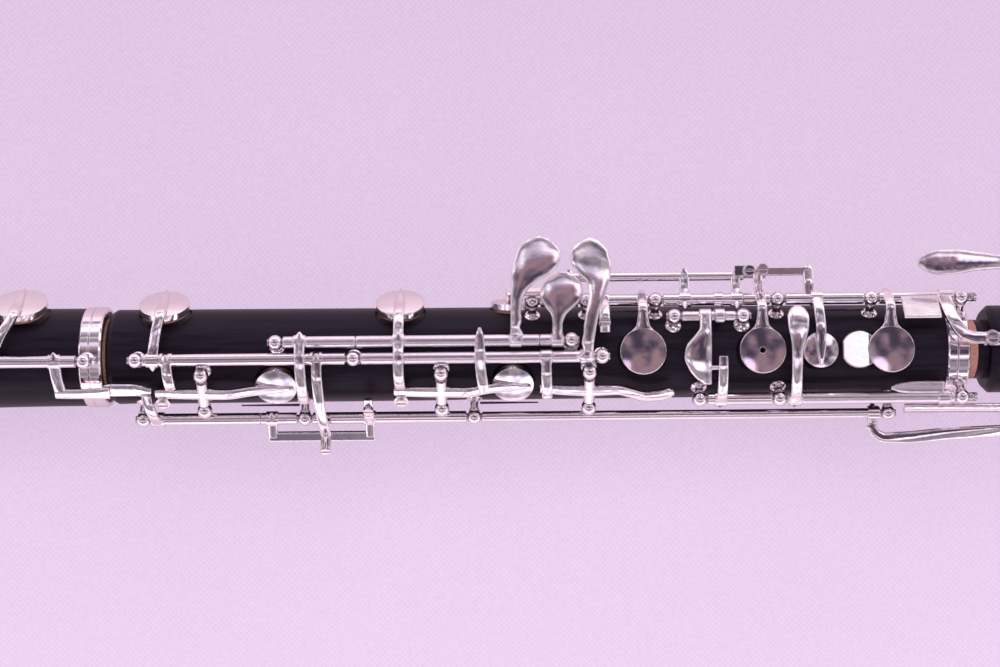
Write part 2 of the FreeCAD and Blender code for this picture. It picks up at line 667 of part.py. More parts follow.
def c_sharp_touch():
    """The C sharp touch and its holding arm, two tubes pinned to one turning rod."""
    rod = ROD_SIDE
    touch_x = LOWER_X + 114.7
    arm_x = LOWER_X + 49.8
    pieces = [
        link_arm(rod, arm_x, [
            (arm_x + 0.1, -2.6, 19.05, 2.7, 1.4), (arm_x + 0.3, -18, 18.9), (arm_x + 0.5, -32, 18.4),
            (arm_x + 0.7, -42, 17.7, 2.6, 1.3),
        ], tip=75),
        collar(rod, touch_x),
        spoon([
            (rod.y - 0.4, touch_x - 1.3, touch_x + 1.3, 17.7, 1.7, 0),
            (7.0, touch_x - 1.3, touch_x + 1.4, 18.0, 1.7, 4),
            (9.6, touch_x - 1.6, touch_x + 2.3, 17.9, 1.7, 6),
            (12.0, touch_x - 3.2, touch_x + 4.8, 17.7, 1.7, 8),
            (14.6, touch_x - 4.3, touch_x + 6.6, 17.3, 1.7, 11),
            (17.2, touch_x - 3.8, touch_x + 6.4, 16.8, 1.6, 14),
            (19.3, touch_x - 2.0, touch_x + 4.9, 16.3, 1.4, 16),
            (20.5, touch_x + 0.3, touch_x + 2.9, 16.0, 0.9, 18),
        ]),
    ]
    first, last = between(SIDE_POSTS, 0, 1)
    return key(rod, [(first, LOWER_X + 63.8), (LOWER_X + 110.4, last)], pieces)


def c_sharp_rod():
    return rod_piece(ROD_SIDE, SIDE_POSTS[0] - BALL_R, SIDE_POSTS[1] + BALL_R, STEEL_R)


def e_flat_touch():
    rod = ROD_TOP
    touch_x = LOWER_X + 122.4
    hold_x = LOWER_X + 95.2
    trill_x = LOWER_X + 111.9
    pieces = [
        blade([
            at_xyz(hold_x, 6.7, 19.1, 0.7, 0.7), at_xyz(hold_x, 4.8, 19.4, 2.0, 1.0),
            at_xyz(hold_x, 1.6, 19.3, 2.7, 1.1), at_xyz(hold_x, rod.y, 18.5, 2.8, 1.5),
            on_ring(hold_x + 0.2, -13, 18.3), on_ring(hold_x + 0.6, -23, 18.3),
            on_ring(hold_x + 1.0, -32, 18.1, 2.6, 1.3),
        ]),
        link_arm(rod, trill_x, [
            (trill_x, -14, 18.0), (trill_x + 0.1, -27, 18.1), (trill_x + 0.2, -38, 17.9, 2.7, 1.3),
        ], tip=180),
        collar(rod, touch_x - 0.4),
        spoon([
            (rod.y - 1.0, touch_x - 1.8, touch_x + 1.0, 17.7, 1.9, 0),
            (4.0, touch_x - 1.4, touch_x + 1.7, 19.1, 1.6, 0),
            (10.0, touch_x - 0.6, touch_x + 2.8, 18.8, 1.6, 5),
            (14.6, touch_x + 0.2, touch_x + 4.4, 18.1, 1.7, 9),
            (17.8, touch_x - 0.2, touch_x + 5.5, 17.4, 1.7, 12),
            (20.2, touch_x - 2.4, touch_x + 6.0, 16.8, 1.7, 15),
            (22.8, touch_x - 4.0, touch_x + 6.1, 16.0, 1.7, 18),
            (25.6, touch_x - 4.2, touch_x + 5.4, 15.0, 1.6, 21),
            (27.5, touch_x - 2.8, touch_x + 4.2, 14.3, 1.4, 23),
            (28.6, touch_x - 1.1, touch_x + 2.7, 13.9, 1.1, 24),
            (29.1, touch_x + 0.1, touch_x + 1.5, 13.7, 0.9, 24),
        ]),
    ]
    return key(rod, [between(TOP_POSTS, 1, 2)], pieces)


def lever(x, bar, pieces, turn=LEVER_TURN, pivot_r=LEVER_R, half=LEVER_HALF):
    """A bar and its pieces on a crosswise barrel that runs between two pivot balls."""
    reach = half - BALL_R - 0.3
    start = polar(x, turn, pivot_r) - sideways(turn) * reach
    barrel = Part.makeCylinder(1.45, 2 * reach, start, sideways(turn))
    bore = Part.makeCylinder(STEEL_R + RUN, 2 * reach, start, sideways(turn))
    return fuse([barrel, blade(bar)] + pieces).cut(bore)


def cup_lever(pivot_x, cup_x):
    """A see-saw lever with a padded cup at one end and a screw lug at its tail."""
    seat_r = seat(cup_x)
    high = cup_height(seat_r) + 0.2
    turn = LEVER_TURN
    tail_x = pivot_x - 10.6
    bar = [
        on_ring(tail_x - 1.4, turn, 15.7, 2.2, 1.4), on_ring(tail_x + 2.5, turn, 15.9, 2.7, 1.6),
        on_ring(pivot_x, turn, LEVER_R + 0.35, 2.8, 1.9), on_ring(pivot_x + 6.0, turn, 16.4, 2.7, 1.7),
        on_ring(cup_x - LEVER_CUP_R - 0.6, turn, high + 0.55, 2.7, 1.6),
        on_ring(cup_x - 1.6, turn, high, 2.6, 1.4), on_ring(cup_x + LEVER_CUP_R * 0.85, turn, high - 0.35, 0.5, 0.9),
    ]
    screw_at = polar(tail_x + 0.3, turn - 9.0, 16.9)
    pieces = [
        cup(cup_x, turn, LEVER_CUP_R, seat_r),
        lug(screw_at, outward(turn - 12)),
        slotted_screw(screw_at - outward(turn - 12) * 0.3, outward(turn - 12), 3.0, 1.3),
    ]
    return lever(pivot_x, bar, pieces)


def trill_lever():
    """The ring finger's wavy lever, which lifts the E flat touch's arm."""
    x = TRILL_LEVER_X
    turn = LEVER_TURN
    bar = [
        on_ring(x - 12.4, turn + 2, 15.9, 2.2, 1.3), on_ring(x - 8.0, turn + 1, 16.0, 2.6, 1.6),
        on_ring(x, turn, LEVER_R + 0.35, 2.8, 1.9), on_ring(x + 7.2, turn + 1, 16.3, 2.6, 1.8),
        on_ring(x + 10.6, turn - 3.5, 15.9, 2.7, 1.8), on_ring(x + 14.4, turn - 10, 15.4, 3.0, 1.8),
        on_ring(x + 17.8, turn - 9, 15.4, 3.2, 1.8), on_ring(x + 20.4, turn - 5, 15.6, 2.9, 1.5),
        on_ring(x + 21.5, turn - 3.5, 15.7, 1.3, 0.9),
    ]
    return lever(x, bar, [])


BAR_Y = -20.9
BAR_Z = 3.9


def b_flat_link():
    """Left hand B flat link: a bridge to the bell key, driven by a long tube and a pinned rod."""
    rod = ROD_LONG
    arm_x = LOWER_X + 12.2
    end_x = LOWER_X + 196.2
    pieces = [
        blade([
            (rod.at(arm_x) + outward(rod.turn) * 0.9, outward(rod.turn), 2.8, 1.6),
            at_xyz(arm_x - 0.5, -15.4, 9.7, 2.7, 1.5, -64), at_xyz(arm_x - 1.3, -12.6, 11.9, 2.6, 1.5, -48),
            at_xyz(arm_x - 2.0, -9.4, 12.4, 2.6, 1.3, -30),
        ]),
        saddle(rod, arm_x, toward=180),
        blade([
            at_xyz(arm_x - 0.6, -8.9, 12.5, 2.6, 1.2, -33), at_xyz(arm_x - 6.0, -8.3, 12.7, 3.5, 1.1, -33),
            at_xyz(LOWER_X + 1.5, -8.3, 12.7, 3.6, 1.0, -33), at_xyz(LOWER_X - 0.2, -8.4, 12.7, 3.2, 0.9, -33),
        ]),
        saddle(rod, end_x, toward=110),
        blade([
            (rod.at(end_x) + outward(-85) * 0.6, outward(-30), 2.8, 1.6),
            at_xyz(end_x, -18.4, 5.1, 2.7, 1.3, -15), at_xyz(end_x, -19.9, 4.8, 2.6, 1.1, -8),
            at_xyz(end_x, -21.4, 4.7, 2.4, 1.0, -5),
        ]),
    ]
    thin_start, thin_end = between(LONG_POSTS, 2, 3)
    thick_start, thick_end = LONG_POSTS[0] + BALL_R + END_PLAY, LOWER_X + 38.4
    pieces.append(rod_piece(rod, thick_start, thick_end, TUBE_R))
    spans = [(thick_start, thick_end), (thin_start, thin_end)]
    return key(rod, spans, pieces, tube_r=THIN_TUBE_R)


def b_flat_rod():
    return rod_piece(ROD_LONG, LONG_POSTS[0] - BALL_R, LONG_POSTS[3] + BALL_R, STEEL_R)


def b_link():
    """Low B link: an outboard bar carries the motion round a post to lift the low B arm."""
    rod = ROD_LONG
    left, right = LOWER_X + 41.5, LOWER_X + 66.6
    arms = []
    for x, tip in ((left, 30), (right, 20)):
        arms.append(saddle(rod, x, toward=tip))
        arms.append(blade([
            (rod.at(x) + Vector(0, -0.6, 0.2), outward(-80), 2.6, 1.6),
            at_xyz(x, -18.8, 4.9, 2.4, 1.5, -60), at_xyz(x, BAR_Y, BAR_Z, 2.4, 1.6, -60),
        ]))
    bar = Part.makeBox(right - left + 2.4, 2.6, 1.3, Vector(left - 1.2, -1.3, -0.65))
    bar = bar.makeFillet(0.35, bar.Edges)
    bar.rotate(Vector(0, 0, 0), Vector(1, 0, 0), 25)
    bar.translate(Vector(0, BAR_Y, BAR_Z))
    screw_at = Vector(right, -13.3, 11.2)
    over = blade([
        (rod.at(right) + outward(-60) * 1.0, outward(-60), 2.6, 1.6),
        at_xyz(right, -15.6, 9.0, 2.6, 1.5, -55), at_xyz(right, -13.8, 10.6, 2.6, 1.4, -50),
        at_xyz(right, -11.2, 12.6, 2.0, 1.2, -45),
    ])
    pieces = arms + [bar, over, slotted_screw(screw_at + outward(-52) * 0.6, outward(-52), 2.6, 1.3)]
    last = LONG_POSTS[1] - BALL_R - END_PLAY
    return key(rod, [(LOWER_X + 38.6, last), between(LONG_POSTS, 1, 2)], pieces)


BRIDGE_BAR = Rod(67.5, 21.0)      # outboard bar of the F key
F_LIFT_X = LOWER_X + 156.0        # where the F touch's tail meets the F key's tube


def f_key():
    """F key: a cup low on the side, worked by an outboard bar that passes the stack posts."""
    rod = ROD_STACK
    seat_r = seat(F_CUP_X)
    high = cup_height(seat_r) + 0.2
    arm_x = LOWER_X + 114.3
    left, mid, right = LOWER_X + 118.0, LOWER_X + 147.5, LOWER_X + 160.7
    pieces = [
        cup(F_CUP_X, F_CUP_TURN, F_CUP_R, seat_r),
        stub(rod, arm_x, 3.1),
        blade(along_bar(rod, arm_x, -1, 3.1) + [
            on_ring(F_CUP_X + 3.0, rod.turn, rod.distance + 3.1), on_ring(F_CUP_X - 0.9, rod.turn, rod.distance + 3.1),
        ]),
        blade([
            on_ring(F_CUP_X, rod.turn - 4, 20.1, 2.2, 1.2), on_ring(F_CUP_X, rod.turn, 19.8),
            cup_station(F_CUP_X, F_CUP_TURN, -6.0, high + 1.9), cup_station(F_CUP_X, F_CUP_TURN, -3.6, high + 0.4),
            cup_station(F_CUP_X, F_CUP_TURN, 0.5, high, 2.4, 1.4),
            cup_station(F_CUP_X, F_CUP_TURN, 4.7, high - 0.4, 0.5, 0.9),
        ]),
        rod_piece(BRIDGE_BAR, left - 2.0, right + 2.0, 1.15),
    ]
    for x in (left, mid, right):
        pieces.append(saddle(rod, x, toward=-60))
        pieces.append(blade([
            (rod.at(x) + outward(70) * 0.9, outward(60), 2.7, 1.6),
            (rod.at(x) * 0.5 + BRIDGE_BAR.at(x) * 0.5 + Vector(0, 0, 0.7), outward(20), 2.6, 1.5),
            (BRIDGE_BAR.at(x) + Vector(0, 0, 0.45), outward(20), 2.5, 1.5),
            (BRIDGE_BAR.at(x) + Vector(0, 2.0, -0.1), outward(30), 1.2, 0.9),
        ]))
    screw_at = Vector(LOWER_X + 163.9, BRIDGE_BAR.y + 1.3, 11.6)
    pieces += [
        Part.makeBox(4.6, 2.6, 1.2, Vector(right - 0.4, BRIDGE_BAR.y, 9.0)),
        lug(screw_at, Vector(0, 0, 1), 1.5, 3.0),
        slotted_screw(screw_at, Vector(0, 0, 1), 4.2, 1.35),
    ]
    pieces.append(saddle(rod, F_LIFT_X, 2.2, toward=-146))
    first = STACK_POSTS[2] + BALL_R + END_PLAY
    return key(rod, [between(STACK_POSTS, 0, 1), (first, LOWER_X + 162.3)], pieces)


def d_plate_key():
    """The ring finger's plate, with a regulating arm at the bell end of its tube."""
    rod = ROD_STACK
    arm_x = LOWER_X + 126.7
    screw_at = polar(arm_x, 23.0, 18.1)
    pieces = [
        finger_plate(rod, D_X, PLATE_R, seat(D_X)),
        link_arm(rod, arm_x, [(arm_x, 40, 18.4), (arm_x, 27, 18.3), (arm_x, 15, 17.6, 2.6, 1.3)], tip=-110),
        lug(screw_at, outward(23), 1.5, 2.0),
        slotted_screw(screw_at, outward(23), 2.4, 1.4),
    ]
    return key(rod, [between(STACK_POSTS, 1, 2)], pieces, -PLATE_OPEN)


def e_plate_key():
    """The middle finger's vented plate; its tail lies under two regulating screws."""
    rod = ROD_STACK
    tail_y, tail_z = 20.3, 6.6
    pieces = [
        finger_plate(rod, E_X, PLATE_R, seat(E_X), vent=0.75),
        blade([
            (rod.at(E_X) + outward(90) * 0.9, outward(60), 2.4, 1.6),
            at_xyz(E_X, 16.8, 8.0, 2.4, 1.4, 30), at_xyz(E_X, tail_y, tail_z, 2.4, 1.1, 10),
        ]),
        Part.makeBox(5.8, 2.2, 1.0, Vector(E_X - 3.8, tail_y - 1.2, tail_z - 0.5)),
    ]
    spans = [(LOWER_X + 162.5, STACK_POSTS[3] - BALL_R - END_PLAY)]
    return key(rod, spans, pieces, -PLATE_OPEN)


def e_vent_key():
    """The small vent cup that the middle finger's plate carries down with it."""
    rod = ROD_STACK
    seat_r = seat(E_VENT_X)
    arm_x = LOWER_X + 179.2
    screw_at = Vector(LOWER_X + 167.4, 20.9, 11.6)
    bar = Part.makeBox(arm_x - LOWER_X - 166.2, 2.2, 1.4, Vector(LOWER_X + 166.6, 19.4, 8.9))
    pieces = [
        cup(E_VENT_X, 0.0, E_VENT_R, seat_r),
        cup_arm(rod, E_VENT_X - 0.3, E_VENT_X, 0.0, E_VENT_R, seat_r),
        saddle(rod, E_VENT_X - 0.3, toward=100),
        bar.makeFillet(0.3, bar.Edges),
        blade([
            (rod.at(arm_x) + outward(60) * 0.9, outward(40), 2.6, 1.6),
            at_xyz(arm_x, 17.0, 10.4, 2.6, 1.5, 10), at_xyz(arm_x, 20.4, 9.7, 2.6, 1.5, 5),
            at_xyz(arm_x, 22.0, 9.4, 1.4, 0.9, 5),
        ]),
        lug(screw_at, Vector(0, 0, 1), 1.5, 2.8),
        slotted_screw(screw_at, Vector(0, 0, 1), 4.2, 1.35),
    ]
    return key(rod, [between(STACK_POSTS, 3, 4)], pieces, -VENT_OPEN)


OVAL_T = 0.5                      # thickness of the oval plate under the pearl


def f_sharp_plate_key():
    """The first finger's plate, its oval extension and the bridge to the upper joint."""
    rod = ROD_STACK
    seat_r = seat(F_SHARP_X)
    base = seat_r + PAD_GAP + PAD_T
    bridge_x = LOWER_X + 213.4
    oval = Part.makeCylinder(4.7, OVAL_T, Vector(0, 0, base + 0.02))
    oval = oval.common(Part.makeBox(7.6, 12, 4, Vector(-4.2, -6, base - 1)))
    screw_at = Vector(LOWER_X + 223.9, 2.4, 17.2)
    flange = Part.makeBox(9.4, 7.0, 0.9, Vector(LOWER_X + 202.4, -7.9, -0.2))
    flange = flange.makeFillet(0.3, flange.Edges)
    flange.rotate(Vector(0, 0, 0), Vector(1, 0, 0), -38)
    flange.translate(rod.at(0) + outward(40) * 0.7)
    pieces = [
        finger_plate(rod, F_SHARP_X, PLATE_R, seat_r),
        placed(oval, PEARL_X + 0.4, 0),
        flange,
        rod_piece(rod, LOWER_X + 212.2, LOWER_X + 215.8, TUBE_R + 0.55),
        blade([
            (rod.at(bridge_x) + outward(35) * 0.9, outward(45), 3.6, 1.8),
            at_xyz(bridge_x + 0.6, 9.6, 14.2, 3.4, 1.7, 30), at_xyz(bridge_x + 1.8, 6.0, 16.2, 3.2, 1.6, 14),
            at_xyz(bridge_x + 3.6, 3.4, 16.7, 3.0, 1.6, 5), at_xyz(bridge_x + 6.4, 2.4, 16.6, 3.0, 1.6, 0),
            at_xyz(bridge_x + 10.5, 2.4, 16.4, 3.0, 1.6, 0),
        ]),
        lug(screw_at, Vector(0, 0, 1), 1.95, 2.0),
        slotted_screw(screw_at, Vector(0, 0, 1), 3.2, 1.5),
    ]
    return key(rod, [between(STACK_POSTS, 4, 5)], pieces, -PLATE_OPEN)


def pearl_touch():
    """An oval slip of mother-of-pearl set in the first finger's plate extension."""
    base = seat(F_SHARP_X) + PAD_GAP + PAD_T + 0.02 + OVAL_T
    slip = Part.makeCylinder(4.5, 0.75, Vector(0, 0, base))
    slip = slip.common(Part.makeBox(6.2, 12, 3, Vector(-4.0, -6, base - 1)))
    slip = slip.cut(Part.makeCylinder(PLATE_R + 0.1, 4, Vector(F_SHARP_X - PEARL_X - 0.4, 0, base - 1)))
    return turned(placed(slip, PEARL_X + 0.4, 0), ROD_STACK, -PLATE_OPEN)


def f_touch():
    """The F touch: half a leaf, straight on one edge, on its own short rod."""
    rod = ROD_F
    edge_x = LOWER_X + 153.7
    def width_at(y, width, z, thickness, lean):
        return y, edge_x - width, edge_x, z, thickness, lean
    pieces = [
        spoon([
            width_at(rod.y + 0.6, 2.9, rod.z + 1.1, 1.7, 20), width_at(6.4, 3.0, 15.9, 1.6, 12),
            width_at(4.2, 4.4, 16.5, 1.6, 4), width_at(1.6, 6.5, 16.6, 1.6, 0),
            width_at(-1.2, 7.0, 16.5, 1.6, -4), width_at(-4.0, 6.0, 16.2, 1.5, -10),
            width_at(-6.4, 4.2, 15.7, 1.4, -16), width_at(-8.0, 2.0, 15.2, 1.0, -20),
        ], corner=2.3),
        saddle(rod, edge_x - 1.4, 2.9, toward=150),
        saddle(rod, F_LIFT_X, 2.4, toward=-130),
        Part.makeCylinder(0.55, 2.6, Vector(edge_x - 0.8, -3.9, 16.2), Vector(1, 0, 0)),
        blade([
            (rod.at(F_LIFT_X) + outward(170) * 0.8, outward(80), 2.0, 1.3),
            at_xyz(F_LIFT_X, 9.9, 10.6, 2.0, 1.1, 80), at_xyz(F_LIFT_X, 10.4, 8.4, 2.0, 1.0, 75),
        ]),
    ]
    return key(rod, [between(F_POSTS, 0, 1)], pieces, tube_r=THIN_TUBE_R)


def f_link():
    """The left hand F link: an arm whose tip lies over the F touch's pin."""
    rod = ROD_TRILL
    arm_x = LOWER_X + 156.4
    pieces = [
        blade([
            (rod.at(arm_x) + outward(-40) * 0.9, outward(-40), 2.7, 1.6),
            on_ring(arm_x, -36, 17.9, 2.6, 1.6), on_ring(arm_x, -22, 18.2, 2.5, 1.5),
            on_ring(arm_x, -10, 18.2, 2.4, 1.4), on_ring(arm_x, -3, 18.1, 2.2, 1.1),
        ]),
        saddle(rod, arm_x, toward=-130),
    ]
    return key(rod, [between(TRILL_POSTS, 0, 1)], pieces)


def g_sharp_touch():
    """The right hand G sharp touch, a long leaf that crosses between two finger plates."""
    rod = ROD_TRILL
    arm_x = LOWER_X + 175.4
    flap = blade([at_xyz(LOWER_X + along, rod.y + 2.5, rod.z + 1.6, width, 0.8, -24)
                  for along, width in ((199.6, 0.9), (202.0, 2.6), (206.0, 3.4), (213.0, 3.4))])
    pieces = [
        blade([
            (rod.at(arm_x) + outward(-40) * 0.9, outward(-44), 2.9, 1.6),
            on_ring(arm_x - 0.2, -34, 17.7, 2.8, 1.6), on_ring(arm_x - 0.4, -18, 18.0, 2.7, 1.6),
            on_ring(arm_x - 0.4, 0, 18.0, 2.8, 1.6), on_ring(arm_x - 0.1, 10, 18.0, 3.8, 1.6),
            on_ring(arm_x + 0.1, 20, 18.0, 5.2, 1.6), on_ring(arm_x + 0.2, 29, 18.0, 5.5, 1.5),
            on_ring(arm_x + 0.2, 36, 18.0, 4.0, 1.3), on_ring(arm_x + 0.2, 39.5, 18.0, 1.6, 0.9),
        ], corner=2.4),
        saddle(rod, arm_x, toward=-130),
        flap,
        rod_piece(rod, LOWER_X + 211.8, LOWER_X + 214.8, TUBE_R + 0.4),
    ]
    return key(rod, [between(TRILL_POSTS, 1, 2)], pieces)


# ---------------------------------------------------------------- upper joint places and keys
UPPER_POSTS = [UPPER_X + 9.0, UPPER_X + 58.0, UPPER_X + 98.0, UPPER_X + 140.0]
LEFT_POSTS = [UPPER_X + 20.0, UPPER_X + 62.0]
LITTLE_POSTS = [UPPER_X + 12.0, UPPER_X + 74.0]
SPOON_POSTS = [UPPER_X + 16.0, UPPER_X + 70.0, UPPER_X + 151.5]
OCTAVE_POSTS = [UPPER_X + 150.0, UPPER_X + 184.0]

C_VENT_X = UPPER_X + 17.0
G_X = UPPER_X + 44.0
A_X = UPPER_X + 72.0
B_X = UPPER_X + 110.0
G_SHARP_X = UPPER_X + 31.0
TRILL_CUP_X = UPPER_X + 146.0
OCTAVE_VENT_X = UPPER_X + 176.0
THUMB_VENT_X = UPPER_X + 152.0
THUMB_LEVER_X = UPPER_X + 138.0
G_SHARP_TURN = -30.0
TRILL_CUP_TURN = 40.0
OCTAVE_TURN = 60.0
SMALL_CUP_R = 3.6
LEFT_CUP_R = 4.4

TONE_HOLES += [
    ("upper", C_VENT_X, 0.0, 2.0, LEFT_CUP_R),
    ("upper", G_X, 0.0, 2.6, PLATE_R),
    ("upper", A_X, 0.0, 2.4, PLATE_R),
    ("upper", B_X, 0.0, 2.2, PLATE_R),
    ("upper", G_SHARP_X, G_SHARP_TURN, 2.2, LEFT_CUP_R),
    ("upper", TRILL_CUP_X, TRILL_CUP_TURN, 1.6, SMALL_CUP_R),
    ("upper", OCTAVE_VENT_X, OCTAVE_TURN, 0.6, SMALL_CUP_R - 0.6),
    ("upper", THUMB_VENT_X, 180.0, 0.6, SMALL_CUP_R - 0.6),
]


def c_vent_key():
    """The upper joint's vent cup; its lug lies under the bridge from the lower joint."""
    rod = ROD_UPPER
    seat_r = seat(C_VENT_X)
    lug_x = LOWER_X + 222.9
    pieces = [
        cup(C_VENT_X, 0.0, LEFT_CUP_R, seat_r),
        cup_arm(rod, C_VENT_X, C_VENT_X, 0.0, LEFT_CUP_R, seat_r),
        saddle(rod, C_VENT_X, toward=100),
        blade([
            on_ring(C_VENT_X - 2.0, 1, cup_height(seat_r) + 0.1, 3.0, 1.3),
            at_xyz(C_VENT_X - 7.0, 1.6, 13.9, 3.0, 1.4), at_xyz(C_VENT_X - 12.0, 2.3, 13.4, 3.4, 1.3),
            at_xyz(lug_x, 2.4, 13.3, 3.4, 1.1),
        ]),
    ]
    spans = [(UPPER_POSTS[0] + BALL_R + END_PLAY, UPPER_X + 33.0)]
    return key(rod, spans, pieces, -VENT_OPEN)


def upper_plate_key(x, span, vent=0.0, extra=()):
    rod = ROD_UPPER
    pieces = [finger_plate(rod, x, PLATE_R, seat(x), vent=vent)] + list(extra)
    return key(rod, [span], pieces, -UPPER_OPEN)


def g_plate_key():
    return upper_plate_key(G_X, (UPPER_X + 33.2, UPPER_POSTS[1] - BALL_R - END_PLAY))


def a_plate_key():
    return upper_plate_key(A_X, between(UPPER_POSTS, 1, 2), vent=0.7)


def b_plate_key():
    """The first finger's half-hole plate, with its rolling extension towards the bell."""
    base = seat(B_X) + PAD_GAP + PAD_T
    extension = blade([
        at_xyz(B_X - 4.0, 0, base + 0.55, 7.0, 1.0), at_xyz(B_X - 8.0, 0, base + 0.75, 7.4, 1.2),
        at_xyz(B_X - 11.5, 0, base + 0.75, 6.4, 1.2), at_xyz(B_X - 13.2, 0, base + 0.65, 3.0, 0.9),
    ], corner=2.4)
    return upper_plate_key(B_X, between(UPPER_POSTS, 2, 3), vent=0.6, extra=[extension])


def g_sharp_key():
    """G sharp key: a closed cup raised by the left little finger's touch."""
    rod = ROD_UPPER_LEFT
    seat_r = seat(G_SHARP_X)
    touch_x = UPPER_X + 48.5
    pieces = [
        cup(G_SHARP_X, G_SHARP_TURN, LEFT_CUP_R, seat_r),
        blade([
            (rod.at(G_SHARP_X) + outward(rod.turn) * 0.8, outward(rod.turn), 2.7, 1.7),
            on_ring(G_SHARP_X, -44, cup_height(seat_r) + 2.2), on_ring(G_SHARP_X, -36, cup_height(seat_r) + 1.0),
            on_ring(G_SHARP_X, -26, cup_height(seat_r) + 0.3, 2.0, 1.3),
            on_ring(G_SHARP_X, -16, cup_height(seat_r) - 0.1, 0.5, 0.9),
        ]),
        saddle(rod, G_SHARP_X, toward=-140),
        spoon([
            (rod.y + 0.2, touch_x - 1.4, touch_x + 1.4, rod.z + 1.1, 1.7, -30),
            (-14.6, touch_x - 1.6, touch_x + 1.8, 13.0, 1.6, -20), (-17.0, touch_x - 3.2, touch_x + 3.4, 13.2, 1.6, -10),
            (-19.6, touch_x - 4.4, touch_x + 4.4, 12.9, 1.5, -10), (-22.0, touch_x - 3.4, touch_x + 3.4, 12.4, 1.4, -12),
            (-23.4, touch_x - 1.2, touch_x + 1.4, 12.1, 1.0, -12),
        ]),
    ]
    return key(rod, [between(LEFT_POSTS, 0, 1)], pieces)


def little_lever(tube, finger, arm_x, touch_y):
    """A left little finger lever: a spoon touch and a long finger reaching over the lower joint."""
    rod = ROD_LITTLE
    touch_x = (tube[0] + tube[1]) / 2 + 2.0
    pieces = [
        stub(rod, arm_x, 3.4),
        blade(finger, corner=2.6),
        saddle(rod, arm_x, toward=100),
        spoon([
            (rod.y - 0.2, touch_x - 1.4, touch_x + 1.4, rod.z + 1.2, 1.7, -30),
            (touch_y + 4.8, touch_x - 1.7, touch_x + 1.9, 8.9, 1.6, -14),
            (touch_y + 2.4, touch_x - 3.8, touch_x + 4.2, 8.9, 1.6, -10),
            (touch_y, touch_x - 4.6, touch_x + 5.0, 8.7, 1.5, -8),
            (touch_y - 2.4, touch_x - 3.4, touch_x + 3.8, 8.3, 1.4, -8),
            (touch_y - 3.8, touch_x - 1.2, touch_x + 1.4, 8.0, 0.9, -8),
        ]),
    ]
    return key(rod, [tube], pieces)


def left_b_flat_lever():
    """Left hand B flat lever: its finger lies over the long tube's lug."""
    x = UPPER_X + 18.0
    finger = along_bar(ROD_LITTLE, x, -1, 3.4, 2.8, 1.7) + [
        at_xyz(x - 13.0, -20.7, 7.4, 3.2, 1.7, -35), at_xyz(LOWER_X + 214.0, -21.7, 6.7, 3.3, 1.7, -12),
        at_xyz(LOWER_X + 203.0, -22.5, 6.5, 3.1, 1.6, -5), at_xyz(LOWER_X + 199.3, -22.5, 6.4, 2.7, 1.5, 0),
        at_xyz(LOWER_X + 196.6, -21.2, 6.4, 2.5, 1.4, 0), at_xyz(LOWER_X + 195.4, -19.0, 6.4, 2.3, 1.2, 0),
    ]
    return little_lever((UPPER_X + 14.1, UPPER_X + 42.0), finger, x, -24.4)


def left_e_flat_lever():
    """Left hand E flat lever, a straight bar that lies over the B flat lever's tube."""
    x = UPPER_X + 47.0
    finger = along_bar(ROD_LITTLE, x, -1, 3.4, 2.8, 1.7) + [
        at_xyz(x - 10.0, -17.4, 11.6, 2.8, 1.7, -54), at_xyz(x - 22.0, -15.6, 12.4, 2.8, 1.6, -48),
        at_xyz(x - 36.0, -15.0, 11.6, 2.9, 1.6, -46), at_xyz(x - 47.0, -15.0, 8.8, 3.0, 1.6, -46),
        at_xyz(LOWER_X + 215.3, -15.0, 8.2, 3.1, 1.5, -46), at_xyz(LOWER_X + 203.7, -15.0, 8.1, 3.1, 1.4, -46),
    ]
    return little_lever((UPPER_X + 42.2, UPPER_X + 71.9), finger, x, -24.4)


